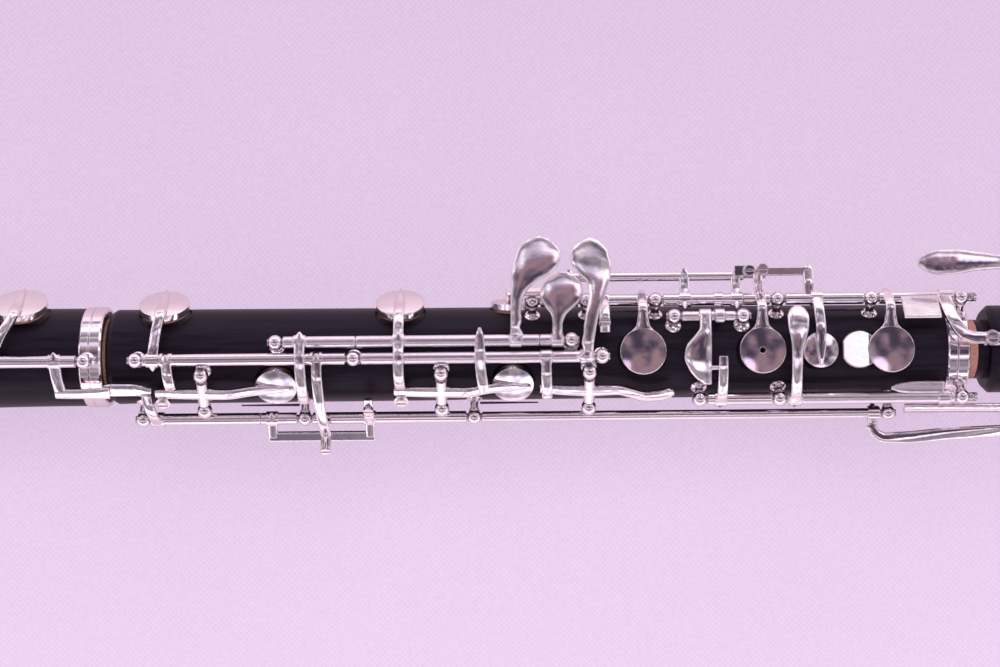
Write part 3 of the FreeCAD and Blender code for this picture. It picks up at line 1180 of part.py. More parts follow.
def long_trill_key():
    """The right hand's long trill key: a slim spoon over the lower joint, a small cup far up."""
    rod = ROD_SPOON
    seat_r = seat(TRILL_CUP_X)
    tip_x = LOWER_X + 206.6
    arm_x = UPPER_X + 22.0
    pieces = [
        stub(rod, arm_x, 3.4),
        blade(along_bar(rod, arm_x, -1, 3.4, 2.8, 1.7) + [
            at_xyz(arm_x - 7.0, 20.6, 6.4, 2.8, 1.7, 55), at_xyz(arm_x - 11.5, 21.6, 9.6, 3.0, 1.8, 30),
            at_xyz(LOWER_X + 228.3, 22.2, 12.0, 3.6, 1.8, 10), at_xyz(LOWER_X + 221.3, 22.5, 12.6, 5.0, 1.8, 8),
            at_xyz(LOWER_X + 215.8, 22.4, 12.8, 6.4, 1.8, 8), at_xyz(LOWER_X + 211.8, 22.3, 12.8, 6.5, 1.8, 8),
            at_xyz(tip_x + 1.8, 22.3, 12.7, 4.6, 1.5, 8), at_xyz(tip_x, 22.3, 12.6, 1.6, 0.9, 8),
        ], corner=2.3),
        saddle(rod, arm_x, toward=-100),
        cup(TRILL_CUP_X, TRILL_CUP_TURN, SMALL_CUP_R, seat_r),
        blade([
            (rod.at(TRILL_CUP_X) + outward(70) * 0.9, outward(70), 2.5, 1.6),
            on_ring(TRILL_CUP_X, 70, 17.6, 2.5, 1.4), on_ring(TRILL_CUP_X, 57, cup_height(seat_r) + 1.3, 2.5, 1.4),
            on_ring(TRILL_CUP_X, 42, cup_height(seat_r) + 0.2, 2.0, 1.2),
            on_ring(TRILL_CUP_X, 27, cup_height(seat_r) - 0.2, 0.5, 0.8),
        ]),
        saddle(rod, TRILL_CUP_X, toward=150),
    ]
    spans = [between(SPOON_POSTS, 0, 1), between(SPOON_POSTS, 1, 2)]
    bypass = Rod(84.0, 20.4)
    for x in (SPOON_POSTS[1] - 5.0, SPOON_POSTS[1] + 5.0):
        pieces.append(blade([
            (rod.at(x) + outward(90) * 0.8, outward(80), 2.4, 1.5),
            (bypass.at(x), outward(80), 2.2, 1.5),
        ]))
    pieces.append(rod_piece(bypass, SPOON_POSTS[1] - 6.0, SPOON_POSTS[1] + 6.0, 0.9))
    return key(rod, spans, pieces)


def side_octave_key():
    """The side octave key: a small vent cup and a touch beside the first finger."""
    rod = ROD_OCTAVE
    seat_r = seat(OCTAVE_VENT_X)
    radius = SMALL_CUP_R - 0.6
    touch_x = OCTAVE_POSTS[0] + 6.0
    pieces = [
        cup(OCTAVE_VENT_X, OCTAVE_TURN, radius, seat_r),
        blade([
            (rod.at(OCTAVE_VENT_X) + outward(90) * 0.8, outward(90), 2.4, 1.5),
            on_ring(OCTAVE_VENT_X, 88, 15.6, 2.4, 1.4), on_ring(OCTAVE_VENT_X, 75, cup_height(seat_r) + 0.9, 2.4, 1.3),
            on_ring(OCTAVE_VENT_X, 61, cup_height(seat_r) + 0.2, 1.9, 1.2),
            on_ring(OCTAVE_VENT_X, 47, cup_height(seat_r) - 0.2, 0.5, 0.8),
        ]),
        saddle(rod, OCTAVE_VENT_X, toward=170),
        blade([
            (rod.at(touch_x) + outward(120) * 0.8, outward(110), 2.6, 1.6),
            on_ring(touch_x - 1.0, 112, 16.2, 3.4, 1.5), on_ring(touch_x - 3.0, 122, 16.6, 6.0, 1.5),
            on_ring(touch_x - 4.0, 133, 16.6, 6.4, 1.4), on_ring(touch_x - 4.4, 142, 16.2, 2.4, 1.0),
        ], corner=2.4),
        saddle(rod, touch_x, toward=60),
    ]
    return key(rod, [between(OCTAVE_POSTS, 0, 1)], pieces)


THUMB_R = 14.2
THUMB_HALF = 5.4


def thumb_octave_key():
    """The thumb's octave key at the back: a see-saw on a crosswise pin."""
    seat_r = seat(THUMB_VENT_X)
    radius = SMALL_CUP_R - 0.6
    x = THUMB_LEVER_X
    bar = [
        on_ring(x - 22.0, 180, 15.0, 3.0, 1.0), on_ring(x - 20.0, 180, 15.2, 9.0, 1.4),
        on_ring(x - 15.5, 180, 15.4, 10.6, 1.5), on_ring(x - 11.0, 180, 15.4, 8.0, 1.5),
        on_ring(x - 7.0, 180, 15.2, 3.4, 1.5), on_ring(x, 180, THUMB_R + 0.5, 2.8, 1.8),
        on_ring(x + 7.0, 180, cup_height(seat_r) + 0.9, 2.6, 1.4),
        on_ring(THUMB_VENT_X - 1.0, 180, cup_height(seat_r) + 0.2, 2.4, 1.2),
        on_ring(THUMB_VENT_X + 2.6, 180, cup_height(seat_r) - 0.2, 0.5, 0.8),
    ]
    return lever(x, bar, [cup(THUMB_VENT_X, 180, radius, seat_r)], 180, THUMB_R, THUMB_HALF)


# ---------------------------------------------------------------- fixed metalwork
def crossways_posts(x, turn, pivot_r, half):
    """Two ball posts that hold a crosswise pin, and the pin itself."""
    posts = []
    for side in (-1, 1):
        centre = polar(x, turn, pivot_r) + sideways(turn) * (side * half)
        lean = math.degrees(math.atan2(centre.y, centre.z))
        reach = math.hypot(centre.y, centre.z)
        hole = Part.makeCylinder(STEEL_R + 0.01, 8, centre - sideways(turn) * 4, sideways(turn))
        posts.append(post(x, lean, reach, hole))
    length = 2 * half + 2 * BALL_R - 0.4
    start = polar(x, turn, pivot_r) - sideways(turn) * (length / 2)
    return posts, Part.makeCylinder(STEEL_R, length, start, sideways(turn))


def lower_posts():
    posts = []
    for rod, xs in ((ROD_TOP, TOP_POSTS), (ROD_SIDE, SIDE_POSTS), (ROD_LONG, LONG_POSTS),
                    (ROD_STACK, STACK_POSTS), (ROD_F, F_POSTS), (ROD_TRILL, TRILL_POSTS)):
        posts += rod_posts(rod, xs)
    for x in (C_SHARP_LEVER_X, E_FLAT_LEVER_X, TRILL_LEVER_X):
        posts += crossways_posts(x, LEVER_TURN, LEVER_R, LEVER_HALF)[0]
    return posts


def upper_posts():
    posts = []
    for rod, xs in ((ROD_UPPER, UPPER_POSTS), (ROD_UPPER_LEFT, LEFT_POSTS), (ROD_LITTLE, LITTLE_POSTS),
                    (ROD_SPOON, SPOON_POSTS), (ROD_OCTAVE, OCTAVE_POSTS)):
        posts += rod_posts(rod, xs)
    return posts + crossways_posts(THUMB_LEVER_X, 180, THUMB_R, THUMB_HALF)[0]


def hinge_rods():
    """Every steel rod and pin that stays still in its posts."""
    rods = []
    for rod, xs in ((ROD_BELL, BELL_POSTS), (ROD_TOP, TOP_POSTS), (ROD_STACK, STACK_POSTS),
                    (ROD_F, F_POSTS), (ROD_TRILL, TRILL_POSTS), (ROD_UPPER, UPPER_POSTS),
                    (ROD_UPPER_LEFT, LEFT_POSTS), (ROD_LITTLE, LITTLE_POSTS),
                    (ROD_SPOON, SPOON_POSTS), (ROD_OCTAVE, OCTAVE_POSTS)):
        rods.append(rod_piece(rod, xs[0] - BALL_R, xs[-1] + BALL_R, STEEL_R))
    for x in (C_SHARP_LEVER_X, E_FLAT_LEVER_X, TRILL_LEVER_X):
        rods.append(crossways_posts(x, LEVER_TURN, LEVER_R, LEVER_HALF)[1])
    rods.append(crossways_posts(THUMB_LEVER_X, 180, THUMB_R, THUMB_HALF)[1])
    return rods


def needle_springs():
    """Blued needle springs, each starting beside a post and lying under its key's tube."""
    springs = []
    low = 1.35                     # height of a spring above the wood
    for rod, x, way in ((ROD_TOP, TOP_POSTS[0], 1), (ROD_TOP, TOP_POSTS[2], -1), (ROD_SIDE, SIDE_POSTS[0], 1),
                        (ROD_SIDE, SIDE_POSTS[1], -1), (ROD_LONG, LONG_POSTS[1], -1),
                        (ROD_LONG, LONG_POSTS[2], 1), (ROD_STACK, STACK_POSTS[2], -1),
                        (ROD_STACK, STACK_POSTS[4], -1), (ROD_TRILL, TRILL_POSTS[1], 1),
                        (ROD_UPPER, UPPER_POSTS[1], 1), (ROD_UPPER, UPPER_POSTS[2], 1),
                        (ROD_SPOON, SPOON_POSTS[0], 1)):
        start = polar(x, rod.turn, wood_r(x) + low) + Vector(way * 1.5, 0, 0)
        springs.append(Part.makeCone(0.34, 0.18, 15.0, start, Vector(way, 0, 0)))
    return springs


THUMB_REST_X = LOWER_X + 166.0


def thumb_rest():
    """A saddle plate at the back with a hooked rest for the right thumb."""
    inner = wood_r(THUMB_REST_X)
    plate = ring_cut(THUMB_REST_X - 14, THUMB_REST_X + 14, inner + 1.3, inner + 0.08)
    plate = plate.common(Part.makeBox(28, 13, 20, Vector(THUMB_REST_X - 14, -6.5, -inner - 8)))
    hook = blade([
        on_ring(THUMB_REST_X + 1.0, 180, inner + 0.9, 11.0, 1.6),
        (polar(THUMB_REST_X + 2.0, 180, inner + 3.4), Vector(1, 0, 0), 11.5, 1.9),
        (polar(THUMB_REST_X + 2.4, 180, inner + 7.4), Vector(1, 0, 0), 12.5, 1.9),
        (polar(THUMB_REST_X + 1.0, 180, inner + 11.0), Vector(1, 0, -0.4), 11.0, 1.7),
        (polar(THUMB_REST_X - 1.4, 180, inner + 12.6), Vector(0.4, 0, -1), 6.0, 1.2),
    ])
    rest = fuse([plate, hook])
    return rest.cut(fuse(thumb_rest_holes()))


def thumb_rest_holes():
    return [Part.makeCylinder(1.35, 30, Vector(THUMB_REST_X + d, 0, -8), Vector(0, 0, -1)) for d in (-10.0, 10.0)]


def thumb_rest_screws():
    screws = []
    top = wood_r(THUMB_REST_X) + 1.35
    for d in (-10.0, 10.0):
        shank = Part.makeCylinder(1.2, 6.0, Vector(THUMB_REST_X + d, 0, -top), Vector(0, 0, 1))
        head = Part.makeCylinder(2.2, 1.1, Vector(THUMB_REST_X + d, 0, -top - 1.1), Vector(0, 0, 1))
        slot = Part.makeBox(5, 0.5, 0.6, Vector(THUMB_REST_X + d - 2.5, -0.25, -top - 1.2))
        screws.append(fuse([shank, head]).cut(slot))
    return screws


def tenon_cork(x0, x1, tenon_r):
    return ring_cut(x0, x1, tenon_r + CORK, tenon_r + 0.01)


def reed_liner():
    return ring_cut(REED_X - REED_WELL_DEPTH + 0.02, REED_X, REED_WELL_R + 0.48, REED_WELL_R)


def crown_ring():
    """The silver crown at the reed end."""
    return revolved([
        (REED_X - 3.0, 10.22), (REED_X - 3.0, 11.5), (REED_X - 2.4, 12.0), (REED_X - 0.7, 12.0),
        (REED_X, 11.3), (REED_X, 10.22),
    ])


# ---------------------------------------------------------------- output
def save(node, *shapes):
    solids = [s for shape in shapes for s in shape.Solids]
    shape = solids[0] if len(solids) == 1 else Part.makeCompound(solids)
    shape.exportStep(f"parts/{node}.step")


def drilled(wood, joint, posts):
    """The wood with its tone holes bored and its post sockets sunk."""
    for where, x, turn, hole_r, pad_r in TONE_HOLES:
        if where == joint:
            wood = wood.cut(tone_hole(x, turn, hole_r, pad_r + 0.35, seat(x)))
    return wood.cut(Part.makeCompound(posts))


def main():
    os.makedirs("parts", exist_ok=True)
    bell_posts = rod_posts(ROD_BELL, BELL_POSTS)
    low_posts = lower_posts()
    high_posts = upper_posts()
    bell_ring = socket_ring(BELL_LENGTH - RING_LENGTH + 0.01, RING_LENGTH, BELL_SOCKET_R - RING_WALL + 0.01)
    lower_ring = socket_ring(LOWER_TOP_X - RING_LENGTH + 0.01, RING_LENGTH, LOWER_TOP_R - RING_WALL + 0.01)

    save("bell_body", drilled(bell_wood(), "bell", bell_posts))
    lower = drilled(lower_wood(), "lower", low_posts).cut(Part.makeCompound(thumb_rest_screws()))
    save("lower_joint_body", lower)
    save("upper_joint_body", drilled(upper_wood(), "upper", high_posts))
    save("bell_socket_ring", bell_ring.cut(Part.makeCompound(bell_posts)))
    save("lower_socket_ring", lower_ring.cut(Part.makeCompound(low_posts)))
    save("crown_ring", crown_ring())
    save("reed_well_liner", reed_liner())
    low_face = LOWER_X - SHOULDER
    save("lower_tenon_cork", tenon_cork(low_face - LOWER_TENON_LENGTH + 0.5, low_face - 0.02, LOWER_TENON_R))
    save("upper_tenon_cork", tenon_cork(UPPER_TENON_END + 0.5, LOWER_TOP_X + CORK_SHOWS - 0.02, UPPER_TENON_R))
    save("bell_posts", *bell_posts)
    save("lower_joint_posts", *low_posts)
    save("upper_joint_posts", *high_posts)
    save("hinge_rods", *hinge_rods())
    save("needle_springs", *needle_springs())
    save("thumb_rest", thumb_rest())
    save("thumb_rest_screws", *thumb_rest_screws())

    save("bell_key", bell_key())
    save("low_b_key", low_b_key())
    save("low_c_key", low_c_key())
    save("c_sharp_touch", c_sharp_touch())
    save("c_sharp_rod", c_sharp_rod())
    save("e_flat_touch", e_flat_touch())
    save("c_sharp_lever", cup_lever(C_SHARP_LEVER_X, C_SHARP_CUP_X))
    save("e_flat_lever", cup_lever(E_FLAT_LEVER_X, E_FLAT_CUP_X))
    save("trill_lever", trill_lever())
    save("b_flat_link", b_flat_link())
    save("b_flat_rod", b_flat_rod())
    save("b_link", b_link())
    save("f_key", f_key())
    save("f_touch", f_touch())
    save("f_link", f_link())
    save("d_plate_key", d_plate_key())
    save("e_plate_key", e_plate_key())
    save("e_vent_key", e_vent_key())
    save("f_sharp_plate_key", f_sharp_plate_key())
    save("pearl_touch", pearl_touch())
    save("g_sharp_touch", g_sharp_touch())

    side = SIDE_CUP_TURN
    save("bell_key_pad", turned(pad(BELL_CUP_X, side, BELL_CUP_R, seat(BELL_CUP_X)), ROD_BELL, BELL_OPEN))
    save("low_b_pad", turned(pad(LOW_B_X, side, LOW_B_R, seat(LOW_B_X)), ROD_TOP, CUP_OPEN))
    save("low_c_pad", turned(pad(LOW_C_X, side, LOW_C_R, seat(LOW_C_X)), ROD_SIDE, CUP_OPEN))
    save("c_sharp_pad", pad(C_SHARP_CUP_X, LEVER_TURN, LEVER_CUP_R, seat(C_SHARP_CUP_X)))
    save("e_flat_pad", pad(E_FLAT_CUP_X, LEVER_TURN, LEVER_CUP_R, seat(E_FLAT_CUP_X)))
    save("f_pad", pad(F_CUP_X, F_CUP_TURN, F_CUP_R, seat(F_CUP_X)))
    save("d_pad", turned(plate_pad(D_X, PLATE_R, seat(D_X)), ROD_STACK, -PLATE_OPEN))
    save("e_pad", turned(plate_pad(E_X, PLATE_R, seat(E_X), 0.75), ROD_STACK, -PLATE_OPEN))
    save("e_vent_pad", turned(pad(E_VENT_X, 0.0, E_VENT_R, seat(E_VENT_X)), ROD_STACK, -VENT_OPEN))
    save("f_sharp_pad", turned(plate_pad(F_SHARP_X, PLATE_R, seat(F_SHARP_X)), ROD_STACK, -PLATE_OPEN))

    save("c_vent_key", c_vent_key(), turned(pad(C_VENT_X, 0.0, LEFT_CUP_R, seat(C_VENT_X)), ROD_UPPER, -VENT_OPEN))
    save("g_plate_key", g_plate_key())
    save("a_plate_key", a_plate_key())
    save("b_plate_key", b_plate_key())
    save("g_sharp_key", g_sharp_key())
    save("left_b_flat_lever", left_b_flat_lever())
    save("left_e_flat_lever", left_e_flat_lever())
    save("long_trill_key", long_trill_key())
    save("side_octave_key", side_octave_key())
    save("thumb_octave_key", thumb_octave_key())


if __name__ == "__main__":
    main()
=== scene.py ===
import json
import math
import bmesh
import bpy
from mathutils import Matrix, Vector


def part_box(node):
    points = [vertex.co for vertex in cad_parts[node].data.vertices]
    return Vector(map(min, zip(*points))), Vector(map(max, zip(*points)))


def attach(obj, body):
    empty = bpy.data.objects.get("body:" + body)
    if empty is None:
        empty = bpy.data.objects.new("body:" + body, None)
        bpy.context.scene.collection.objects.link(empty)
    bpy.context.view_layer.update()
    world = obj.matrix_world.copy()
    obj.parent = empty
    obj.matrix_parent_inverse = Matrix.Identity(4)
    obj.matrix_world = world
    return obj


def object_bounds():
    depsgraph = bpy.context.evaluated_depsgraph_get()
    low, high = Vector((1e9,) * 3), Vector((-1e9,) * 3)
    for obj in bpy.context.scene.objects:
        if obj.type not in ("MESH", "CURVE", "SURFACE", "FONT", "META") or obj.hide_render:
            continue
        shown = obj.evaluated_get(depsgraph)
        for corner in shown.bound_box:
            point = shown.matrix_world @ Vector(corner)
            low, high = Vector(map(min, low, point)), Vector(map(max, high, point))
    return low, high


# Finish, light and camera for the oboe, and the small parts that the frame leaves out:
# slotted rod heads and cork bumpers. Metres; +X runs from the bell's mouth to the reed
# well, +Z points up through the finger plates.

MM = 0.001
ALONG = Vector((1, 0, 0))

FLOOR_HALF = 1.6                     # half of the cloth's side
FLOOR_GAP = 0.3 * MM                 # between the cloth and the lowest key
FLOOR_GLOW = 0.72                    # evens out the shadow that a very soft room light would leave
THREAD_PITCH = 1.55 * MM             # one over-and-under of the cloth's weave
BACKDROP = (0.74, 0.58, 0.77, 1.0)   # what the camera sees beyond the cloth

CAMERA_PLACE = Vector((221.6, 5.2, 493.0)) * MM
CAMERA_TURN = math.radians(-0.533)   # about the line of sight
SENSOR_WIDTH = 36.0                  # millimetres, as the lens
LENS = 68.1

LONG_ROD = 60 * MM                   # key rods are longer than this, lever pins shorter
LAST_POST = 215 * MM                 # the lower joint's last posts, from its shoulder
HEAD_RADIUS = 1.1 * MM
HEAD_HEIGHT = 1.9 * MM
SLOT_WIDTH = 0.4 * MM
SLOT_DEPTH = 0.7 * MM
HEAD_INSET = 0.2 * MM                # how far a head reaches into its rod

BUMPER_LENGTH = 2.3 * MM             # along the bore
BUMPER_WIDTH = 2.6 * MM
BUMPER_THICKNESS = 0.75 * MM

# the arms that carry bumpers: key, and where its arm starts and ends from the shoulder
BUMPER_ARMS = {
    "low_b_bumper": ("low_b_key", 15.0 * MM, 18.6 * MM),
    "low_c_bumper": ("low_c_key", 73.0 * MM, 76.4 * MM),
    "c_sharp_bumper": ("c_sharp_touch", 48.6 * MM, 52.0 * MM),
    "e_flat_bumper": ("e_flat_touch", 94.6 * MM, 97.6 * MM),
}

# rows of light along the oboe: from and to, in degrees from straight up, soft edge, brightness
LIGHT_BANDS = [
    (-84, -60, 2, 1.05),
    (-46, -38, 2, 0.12),
    (-24, -15, 2, 1.0),
    (-6, -2, 1, 0.4),
    (26, 35, 2, 1.05),
    (44, 48, 1, 0.45),
    (62, 85, 2, 1.05),
]

# touches with wide bevelled borders round a dome
DOMED_TOUCHES = ("low_c_key", "c_sharp_touch", "e_flat_touch", "f_touch", "g_sharp_touch", "long_trill_key")

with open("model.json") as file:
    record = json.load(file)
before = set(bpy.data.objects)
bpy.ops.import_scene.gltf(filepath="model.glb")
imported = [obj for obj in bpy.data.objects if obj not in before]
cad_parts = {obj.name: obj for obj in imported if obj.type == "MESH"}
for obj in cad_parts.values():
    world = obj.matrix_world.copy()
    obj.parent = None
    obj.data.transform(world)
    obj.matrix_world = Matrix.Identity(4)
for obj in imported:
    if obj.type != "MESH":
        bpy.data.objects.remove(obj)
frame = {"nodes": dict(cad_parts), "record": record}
nodes = frame["nodes"]
cad_low, cad_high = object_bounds()

SHOULDER_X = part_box("bell_socket_ring")[1].x + 1.3 * MM     # the lower joint's end at the bell


# ---------------------------------------------------------------- node trees
class NodeTree:
    """A node tree, built by adding nodes whose inputs are values or other nodes' outputs."""

    def __init__(self, tree, coordinates):
        self.tree = tree
        self.tree.nodes.clear()
        self.place = self.add("ShaderNodeTexCoord").outputs[coordinates]

    def add(self, kind, inputs=None, **settings):
        node = self.tree.nodes.new(kind)
        for name, value in settings.items():
            setattr(node, name, value)
        for socket, value in (inputs or {}).items():
            if isinstance(value, bpy.types.NodeSocket):
                self.tree.links.new(value, node.inputs[socket])
            else:
                node.inputs[socket].default_value = value
        return node

    def noise(self, scale, detail=3.0, roughness=0.5, place=None):
        inputs = {"Vector": place or self.place, "Scale": scale, "Detail": detail, "Roughness": roughness}
        return self.add("ShaderNodeTexNoise", inputs).outputs["Fac"]

    def remap(self, value, low, high, start=0.0, end=1.0, curve="LINEAR"):
        inputs = {"Value": value, "From Min": low, "From Max": high, "To Min": start, "To Max": end}
        return self.add("ShaderNodeMapRange", inputs, interpolation_type=curve).outputs["Result"]

    def smooth(self, value, low, high, start=0.0, end=1.0):
        return self.remap(value, low, high, start, end, "SMOOTHSTEP")

    def math(self, operation, a, b=0.0):
        return self.add("ShaderNodeMath", {0: a, 1: b}, operation=operation).outputs[0]

    def mixed(self, share, a, b):
        """A colour between a and b; the mix node's colour inputs are numbers 6 and 7."""
        inputs = {"Factor": share, 6: a, 7: b}
        return self.add("ShaderNodeMix", inputs, data_type="RGBA").outputs[2]

    def axes(self):
        return self.add("ShaderNodeSeparateXYZ", {"Vector": self.place}).outputs


class Look(NodeTree):
    """A material in the row frame's own coordinates."""

    def __init__(self, name):
        self.material = bpy.data.materials.new(name)
        self.material.use_nodes = True
        super().__init__(self.material.node_tree, "Object")

    def stretched(self, x, y, z):
        """The place in the row frame, scaled by a different amount along each axis."""
        return self.add("ShaderNodeMapping", {"Vector": self.place, "Scale": (x, y, z)}).outputs[0]

    def cells(self, scale):
        return self.add("ShaderNodeTexVoronoi", {"Vector": self.place, "Scale": scale}).outputs["Distance"]

    def bump(self, height, distance, strength=1.0, normal=None):
        inputs = {"Height": height, "Distance": distance, "Strength": strength}
        if normal is not None:
            inputs["Normal"] = normal
        return self.add("ShaderNodeBump", inputs).outputs[0]

    def soft_edges(self, radius):
        return self.add("ShaderNodeBevel", {"Radius": radius}, samples=4).outputs[0]

    def crevices(self, distance):
        """1 in corners and under parts, 0 on open surfaces."""
        openness = self.add("ShaderNodeAmbientOcclusion", {"Distance": distance}, samples=6).outputs["AO"]
        return self.math("SUBTRACT", 1.0, openness)

    def finish(self, **inputs):
        named = {name.replace("_", " "): value for name, value in inputs.items()}
        shader = self.add("ShaderNodeBsdfPrincipled", named)
        output = self.add("ShaderNodeOutputMaterial", {"Surface": shader.outputs[0]})
        output.is_active_output = True
        return self.material


def rgb(red, green, blue):
    return (red, green, blue, 1.0)


# ---------------------------------------------------------------- materials
def silver_plate(name, edge):
    """Polished silver: cloudy polish, hairline scratches and warm tarnish in the corners."""
    look = Look(name)
    cloud = look.noise(70.0, 2.0)
    speck = look.noise(1400.0, 4.0, 0.6)
    stain = look.noise(240.0, 3.0, 0.6)
    corners = look.remap(look.crevices(1.6 * MM), 0.30, 0.85)
    tarnish = look.math("MULTIPLY", corners, look.remap(stain, 0.35, 0.65, 0.15, 1.0))
    clean = look.mixed(look.remap(cloud, 0.3, 0.7), rgb(0.965, 0.93, 0.945), rgb(0.91, 0.865, 0.885))
    colour = look.mixed(look.math("MULTIPLY", tarnish, 0.8), clean, rgb(0.46, 0.31, 0.25))
    haze = look.remap(cloud, 0.3, 0.75, 0.035, 0.09)
    gloss = look.math("ADD", haze, look.remap(speck, 0.4, 0.75, 0.0, 0.05))
    rough = look.math("ADD", gloss, look.math("MULTIPLY", tarnish, 0.22))
    along = look.noise(420.0, 3.0, 0.7, look.stretched(1.0, 9.0, 9.0))
    across = look.noise(420.0, 3.0, 0.7, look.stretched(8.0, 1.0, 5.0))
    scratches = look.math("MULTIPLY", along, across)
    dents = look.math("MULTIPLY", look.noise(230.0, 1.0), 3.5)
    normal = look.bump(look.math("ADD", scratches, dents), 0.014 * MM, 0.6, look.soft_edges(edge))
    return look.finish(Base_Color=colour, Metallic=1.0, Roughness=rough, Normal=normal)


def blackwood():
    """Dense blackwood with faint long grain and open pores, oiled to a soft sheen."""
    look = Look("blackwood")
    along = look.stretched(0.06, 1.0, 1.0)
    grain = look.noise(900.0, 6.0, 0.65, along)
    figure = look.noise(120.0, 3.0, 0.55, along)
    pores = look.noise(2600.0, 2.0, 0.5, look.stretched(0.12, 1.0, 1.0))
    dark = look.mixed(look.remap(grain, 0.35, 0.7), rgb(0.0045, 0.0030, 0.0060), rgb(0.0125, 0.0080, 0.0145))
    colour = look.mixed(look.remap(figure, 0.55, 0.8, 0.0, 0.55), dark, rgb(0.024, 0.014, 0.018))
    dull = look.remap(grain, 0.3, 0.7, 0.30, 0.46)
    height = look.math("ADD", look.math("MULTIPLY", grain, 0.6), look.remap(pores, 0.58, 0.72, 0.0, -0.8))
    normal = look.bump(height, 0.02 * MM, 0.5, look.soft_edges(0.35 * MM))
    return look.finish(Base_Color=colour, Roughness=dull, IOR=1.28,
                       Specular_Tint=rgb(0.88, 0.82, 1.0), Normal=normal)


def ground_steel():
    """Steel rods and screws with fine turning marks."""
    look = Look("rod_steel")
    marks = look.noise(2400.0, 2.0, 0.6, look.stretched(4.0, 0.4, 0.4))
    stain = look.noise(240.0, 3.0)
    colour = look.mixed(look.remap(stain, 0.35, 0.7), rgb(0.62, 0.60, 0.60), rgb(0.42, 0.40, 0.41))
    rough = look.remap(marks, 0.3, 0.7, 0.16, 0.30)
    normal = look.bump(marks, 0.01 * MM, 0.5)
    return look.finish(Base_Color=colour, Metallic=1.0, Roughness=rough, Normal=normal)


def blued_steel():
    """Needle springs, blue-black with a straw tint where the temper has run."""
    look = Look("blued_steel")
    temper = look.noise(300.0, 2.0)
    colour = look.mixed(look.remap(temper, 0.4, 0.65), rgb(0.055, 0.065, 0.14), rgb(0.16, 0.12, 0.13))
    rough = look.remap(look.noise(3000.0), 0.3, 0.7, 0.18, 0.34)
    return look.finish(Base_Color=colour, Metallic=1.0, Roughness=rough)


def cork():
    """Natural cork: warm brown grains with darker pits, and painted shade that turns it near black in narrow
    gaps.
    """
    look = Look("cork")
    grains = look.cells(1500.0)
    pits = look.noise(1900.0, 4.0, 0.7)
    light = look.mixed(look.remap(grains, 0.1, 0.7), rgb(0.38, 0.175, 0.14), rgb(0.52, 0.26, 0.205))
    pitted = look.mixed(look.remap(pits, 0.58, 0.72), light, rgb(0.10, 0.035, 0.03))
    # painted shade: the cork goes near black where it sits in narrow gaps, from the crevice mask
    painted_gap_shade = look.remap(look.crevices(2.5 * MM), 0.42, 0.62, 0.0, 0.9)
    colour = look.mixed(painted_gap_shade, pitted, rgb(0.035, 0.022, 0.014))
    height = look.math("SUBTRACT", grains, look.remap(pits, 0.55, 0.75))
    return look.finish(Base_Color=colour, Roughness=look.remap(pits, 0.3, 0.7, 0.7, 0.92),
                       Normal=look.bump(height, 0.12 * MM, 0.7))


def pad_skin():
    """Thin skin over felt, lightly wrinkled and browned with use."""
    look = Look("pad_skin")
    wrinkles = look.noise(700.0, 5.0, 0.65)
    blotch = look.noise(220.0, 3.0)
    fresh = look.mixed(look.remap(blotch, 0.35, 0.7), rgb(0.34, 0.17, 0.11), rgb(0.22, 0.105, 0.065))
    colour = look.mixed(look.remap(wrinkles, 0.55, 0.8), fresh, rgb(0.12, 0.05, 0.03))
    return look.finish(Base_Color=colour, Roughness=look.remap(wrinkles, 0.3, 0.7, 0.42, 0.65),
                       Subsurface_Weight=0.08, Subsurface_Radius=(0.6 * MM, 0.3 * MM, 0.2 * MM),
                       Normal=look.bump(wrinkles, 0.08 * MM, 0.6))


def pearl():
    """Mother-of-pearl: drifting pink and green sheen under a polished face."""
    look = Look("pearl")
    drift = look.noise(260.0, 2.0, 0.5, look.stretched(1.0, 0.5, 1.0))
    layers = look.noise(600.0, 2.0, 0.5, look.stretched(0.6, 1.4, 1.0))
    tint = look.mixed(look.remap(drift, 0.38, 0.62), rgb(0.93, 0.83, 0.85), rgb(0.80, 0.92, 0.85))
    colour = look.mixed(look.remap(layers, 0.45, 0.65, 0.0, 0.7), tint, rgb(0.93, 0.92, 0.90))
    return look.finish(Base_Color=colour, Metallic=0.25, Roughness=look.remap(layers, 0.3, 0.7, 0.22, 0.38),
                       Coat_Weight=0.8, Coat_Roughness=0.06, Normal=look.bump(drift, 0.05 * MM, 0.15))


